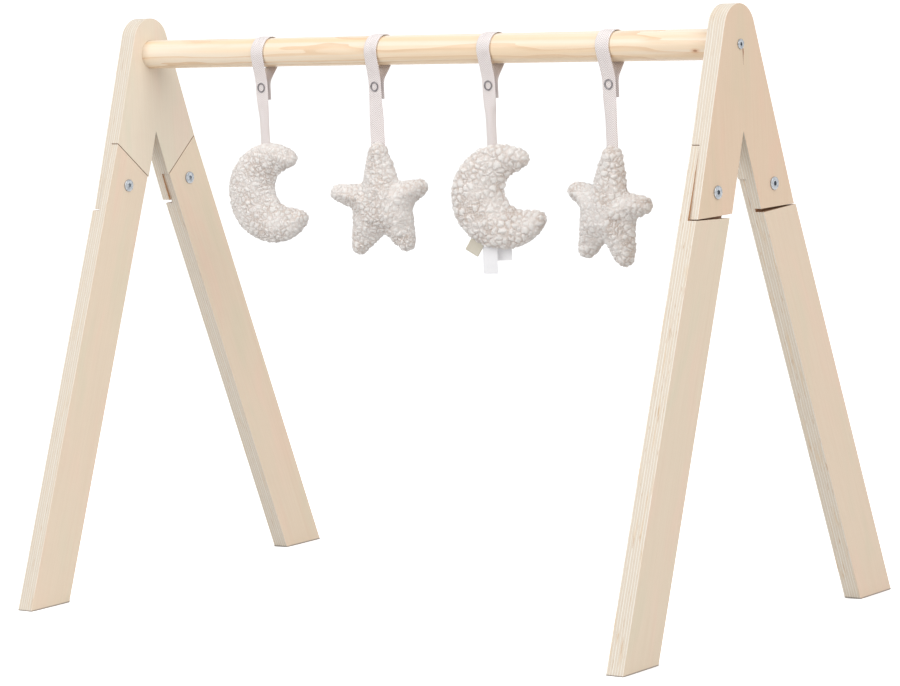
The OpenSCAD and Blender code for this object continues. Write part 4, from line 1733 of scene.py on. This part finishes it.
@dataclass
class ToyBox:
    """The four toys, their cloth simulation and the third toy's tab and labels."""

    hang_y: float = -8.0 * MM
    tops: tuple[float, ...] = (0.4395, 0.440, 0.4385, 0.436)
    yaws: tuple[float, ...] = (6, 15, 20, -5)
    tilts: tuple[float, ...] = (12, 2, 14, -8)
    shapes: tuple[Shape, ...] = (Shape.MOON, Shape.STAR, Shape.MOON, Shape.STAR)
    moon_aside: float = 8.0 * MM
    moon_radius: float = 49.0 * MM
    star_reach: float = 54.0 * MM
    tufts: tuple[float, ...] = (4.7 * MM, 4.5 * MM, 6.3 * MM, 5.4 * MM)
    horns: tuple[tuple[float, float], ...] = ((45.0, 50.0), (0.0, 0.0), (47.0, 47.0), (0.0, 0.0))
    aside: tuple[float, ...] = (-2.0 * MM, -0.5 * MM, 0.0, 0.6 * MM)
    nudges: tuple[tuple[tuple[float, float], ...], ...] = (
        ((0.0, 0.0),) * 5, ((0.0, 0.5), (-3.5, 0.0), (-3.5, 0.0), (-1.0, 0.5), (-0.5, 0.8)),
        ((0.0, 0.0),) * 5, ((0.5, 1.5), (2.0, 0.0), (1.0, 0.0), (0.5, -0.5), (0.0, -1.0)))
    label_width: float = 14.5 * MM
    tab_width: float = 14.0 * MM
    tab_drop: float = 14.5 * MM
    frames: int = 18
    scale: float = 10.0
    cap: float = 5.0 * MM

    def toy(self, index: int, x: float) -> Plush:
        """Describes one toy by its place on the bar.

        Args:
            index: Its number from 0.
            x: Its place along the bar.

        Returns:
            The toy.
        """
        tilt = math.radians(self.tilts[index])
        if self.shapes[index] is Shape.MOON:
            aside = self.moon_aside
            drop = math.sqrt(self.moon_radius ** 2 - aside ** 2)
        else:
            aside = self.star_reach * math.sin(tilt)
            drop = self.star_reach * math.cos(tilt)
        return Plush(index + 1, self.shapes[index], Vector((x, self.hang_y, self.tops[index])),
                     math.radians(self.yaws[index]), tilt, aside + self.aside[index], drop,
                     tuft=self.tufts[index], horns=self.horns[index], nudges=self.nudges[index])

    def blow_up(self, bodies: list[bpy.types.Object]) -> None:
        """Fills the sewn bodies with a cloth simulation, on copies ten times as large.

        Args:
            bodies: The flat bodies, changed in place.
        """
        scene = bpy.context.scene
        starts = []
        for body in bodies:
            body.data.transform(Matrix.Scale(self.scale, 4))
            starts.append(np.array([v.co for v in body.data.vertices]))
            cloth = body.modifiers.new("fill", "CLOTH")
            rules = cloth.settings
            rules.quality = 6
            rules.mass = 0.15
            rules.tension_stiffness = rules.compression_stiffness = 25
            rules.shear_stiffness = 12
            rules.bending_stiffness = 0.8
            rules.use_pressure = True
            rules.uniform_pressure_force = 8.0
            rules.shrink_min = -0.06
            rules.vertex_group_mass = "seam"
            rules.effector_weights.gravity = 0
            cloth.collision_settings.use_collision = False
            cloth.point_cache.frame_end = self.frames
        for number in range(1, self.frames + 1):
            scene.frame_set(number)
        for body, start in zip(bodies, starts):
            baked(body)
            now = np.array([v.co for v in body.data.vertices])
            moved = now - start
            far = np.linalg.norm(moved, axis=1)
            log.info("%s: filled, points moved up to %.1f mm", body.name, far.max() / self.scale / MM)
            cap = self.cap * self.scale
            moved *= np.minimum(1.0, cap / np.maximum(far, 1e-9))[:, None]
            body.data.vertices.foreach_set("co", (start + moved).astype(np.float32).ravel())
            body.data.transform(Matrix.Scale(1 / self.scale, 4))
        scene.frame_set(1)

    def build(self, places: list[float]) -> None:
        """Builds the toys.

        Args:
            places: Where each strap hangs on the bar.
        """
        toys = [self.toy(i, x) for i, x in enumerate(places)]
        for toy in toys:
            toy.body = toy.sewn()
        self.blow_up([toy.body for toy in toys])
        cloth = TeddyCloth("teddy_pile").build()
        for toy in toys:
            toy.finish(cloth)
        self.trim(toys[2])

    def trim(self, toy: Plush) -> None:
        """Builds the folded tab and the two blank care labels in the third toy's seam.

        Args:
            toy: The toy that carries them.
        """
        plane = (Matrix.Translation(toy.hang) @ Matrix.Rotation(toy.yaw, 4, "Z")
                 @ Matrix.Translation((toy.aside, 0, -toy.drop)))
        reach = self.moon_radius
        white = Ribbon("label_white", 0.55, light=srgb(250, 250, 252), dark=srgb(238, 238, 242),
                       pitch=0.0004, band=0.5, relief=0.00003).build()
        cotton = Ribbon("tab_cotton", 0.85, light=srgb(232, 226, 212), dark=srgb(206, 198, 180),
                        pitch=0.0008, band=0.5, relief=0.00012).build()
        n = toy.number
        tab = self.hanging("seam_tab", self.tab_width, self.tab_drop, 2.2 * MM, 0.6 * MM, cotton, fold=True)
        tab.data.transform(plane @ Matrix.Rotation(math.radians(32), 4, "Y")
                           @ Matrix.Translation((0, 0, -(reach - 1.8 * MM))))
        hand_in(tab, f"toy_{n}", "tab_cotton", "moon_tab_3")
        for name, x, y, length, bow in (("care_label_long", -14.2, 0.0, 26.0, 1.2),
                                        ("care_label_short", -1.4, 2.9, 14.0, -1.0)):
            label = self.hanging(name, self.label_width, length * MM, bow * MM, 0.3 * MM, white, fold=False)
            label.data.transform(plane @ Matrix.Translation((x * MM, y * MM, -(reach - 2.8 * MM))))
            hand_in(label, f"toy_{n}", "label_satin", "care_labels_3")

    def hanging(self, name: str, width: float, length: float, bow: float, thickness: float,
                material: bpy.types.Material, fold: bool) -> bpy.types.Object:
        """A short tape that hangs from z = 0, single and bowed, or folded back on itself.

        Args:
            name: The piece's name.
            width: Its width.
            length: How far down it reaches.
            bow: How far its middle stands out, or the gap inside a fold.
            thickness: The cloth's thickness.
            material: Its cloth.
            fold: Whether the tape comes back up behind itself.

        Returns:
            The new object.
        """
        steps, straight = 14, 0.93
        marks = range(steps + 1)
        if fold:
            gap = (bow - thickness) / 2
            depth = 0.07 * length - thickness / 2
            down = [Vector((-gap, -length * (i / steps) * straight)) for i in marks]
            bend = [Vector((-gap * math.cos(a), -straight * length - depth * math.sin(a)))
                    for a in (math.pi * i / 8 for i in range(1, 8))]
            path = down + bend + [Vector((-p.x, p.y)) for p in reversed(down)]
        else:
            path = [Vector((-bow * math.sin(math.pi * 0.9 * i / steps), -length * i / steps)) for i in marks]
        return Tape(name, 0.0, path, width, thickness, columns=8).build(material)


@dataclass
class Pendants:
    """The four straps with what hangs from them."""

    bar_radius: float
    bar_z: float
    foot_shares: tuple[float, ...] = (0.72, 0.98, 0.66, 0.92)
    foot_cups: tuple[float, ...] = (2.4 * MM, 0.5 * MM, 3.0 * MM, 1.2 * MM)
    strays: tuple[float, ...] = (2.2 * MM, 2.4 * MM, 0.6 * MM, -1.6 * MM)

    def build(self, toys: ToyBox) -> None:
        """Builds the straps, the snaps and the toys.

        Args:
            toys: The toys that hang from the straps.
        """
        cloth = Ribbon("herringbone_ribbon").build()
        steel = Metal("snap_nickel", 0.24, colour=srgb(132, 128, 130), cloud=srgb(98, 95, 98)).build()
        places = []
        for i in range(len(toys.tops)):
            low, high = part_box(f"strap_loop_{i + 1}")
            places.append((low.x + high.x) / 2)
            drape = Drape(self.foot_shares[i], self.foot_cups[i], math.radians(toys.yaws[i]), self.strays[i])
            strap = Strap(i + 1, places[-1], self.bar_radius, self.bar_z, toys.tops[i], drape)
            strap.build(cloth, steel)
        toys.build(places)


def main() -> None:
    """Builds the studio and every piece of the gym, in order."""
    logging.basicConfig(level=logging.INFO, format="%(name)s: %(message)s")
    Studio().build()
    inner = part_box("right_head")[0].x
    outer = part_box("right_head")[1].x
    low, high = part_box("bar")
    radius, bar_z = (high.z - low.z) / 2, (high.z + low.z) / 2
    for side in Side:
        AFrame(side, inner, outer - inner).build()
    RoundBar(radius, bar_z, high.x).build()
    low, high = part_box("right_leg_bolts")
    bolt_y = (high.y - low.y) / 2 - BOLT_HEAD_RADIUS
    Hardware(outer, inner, bolt_y, (low.z + high.z) / 2, bar_z).build()
    Pendants(radius, bar_z).build(ToyBox())


if __name__ == "__main__":
    main()
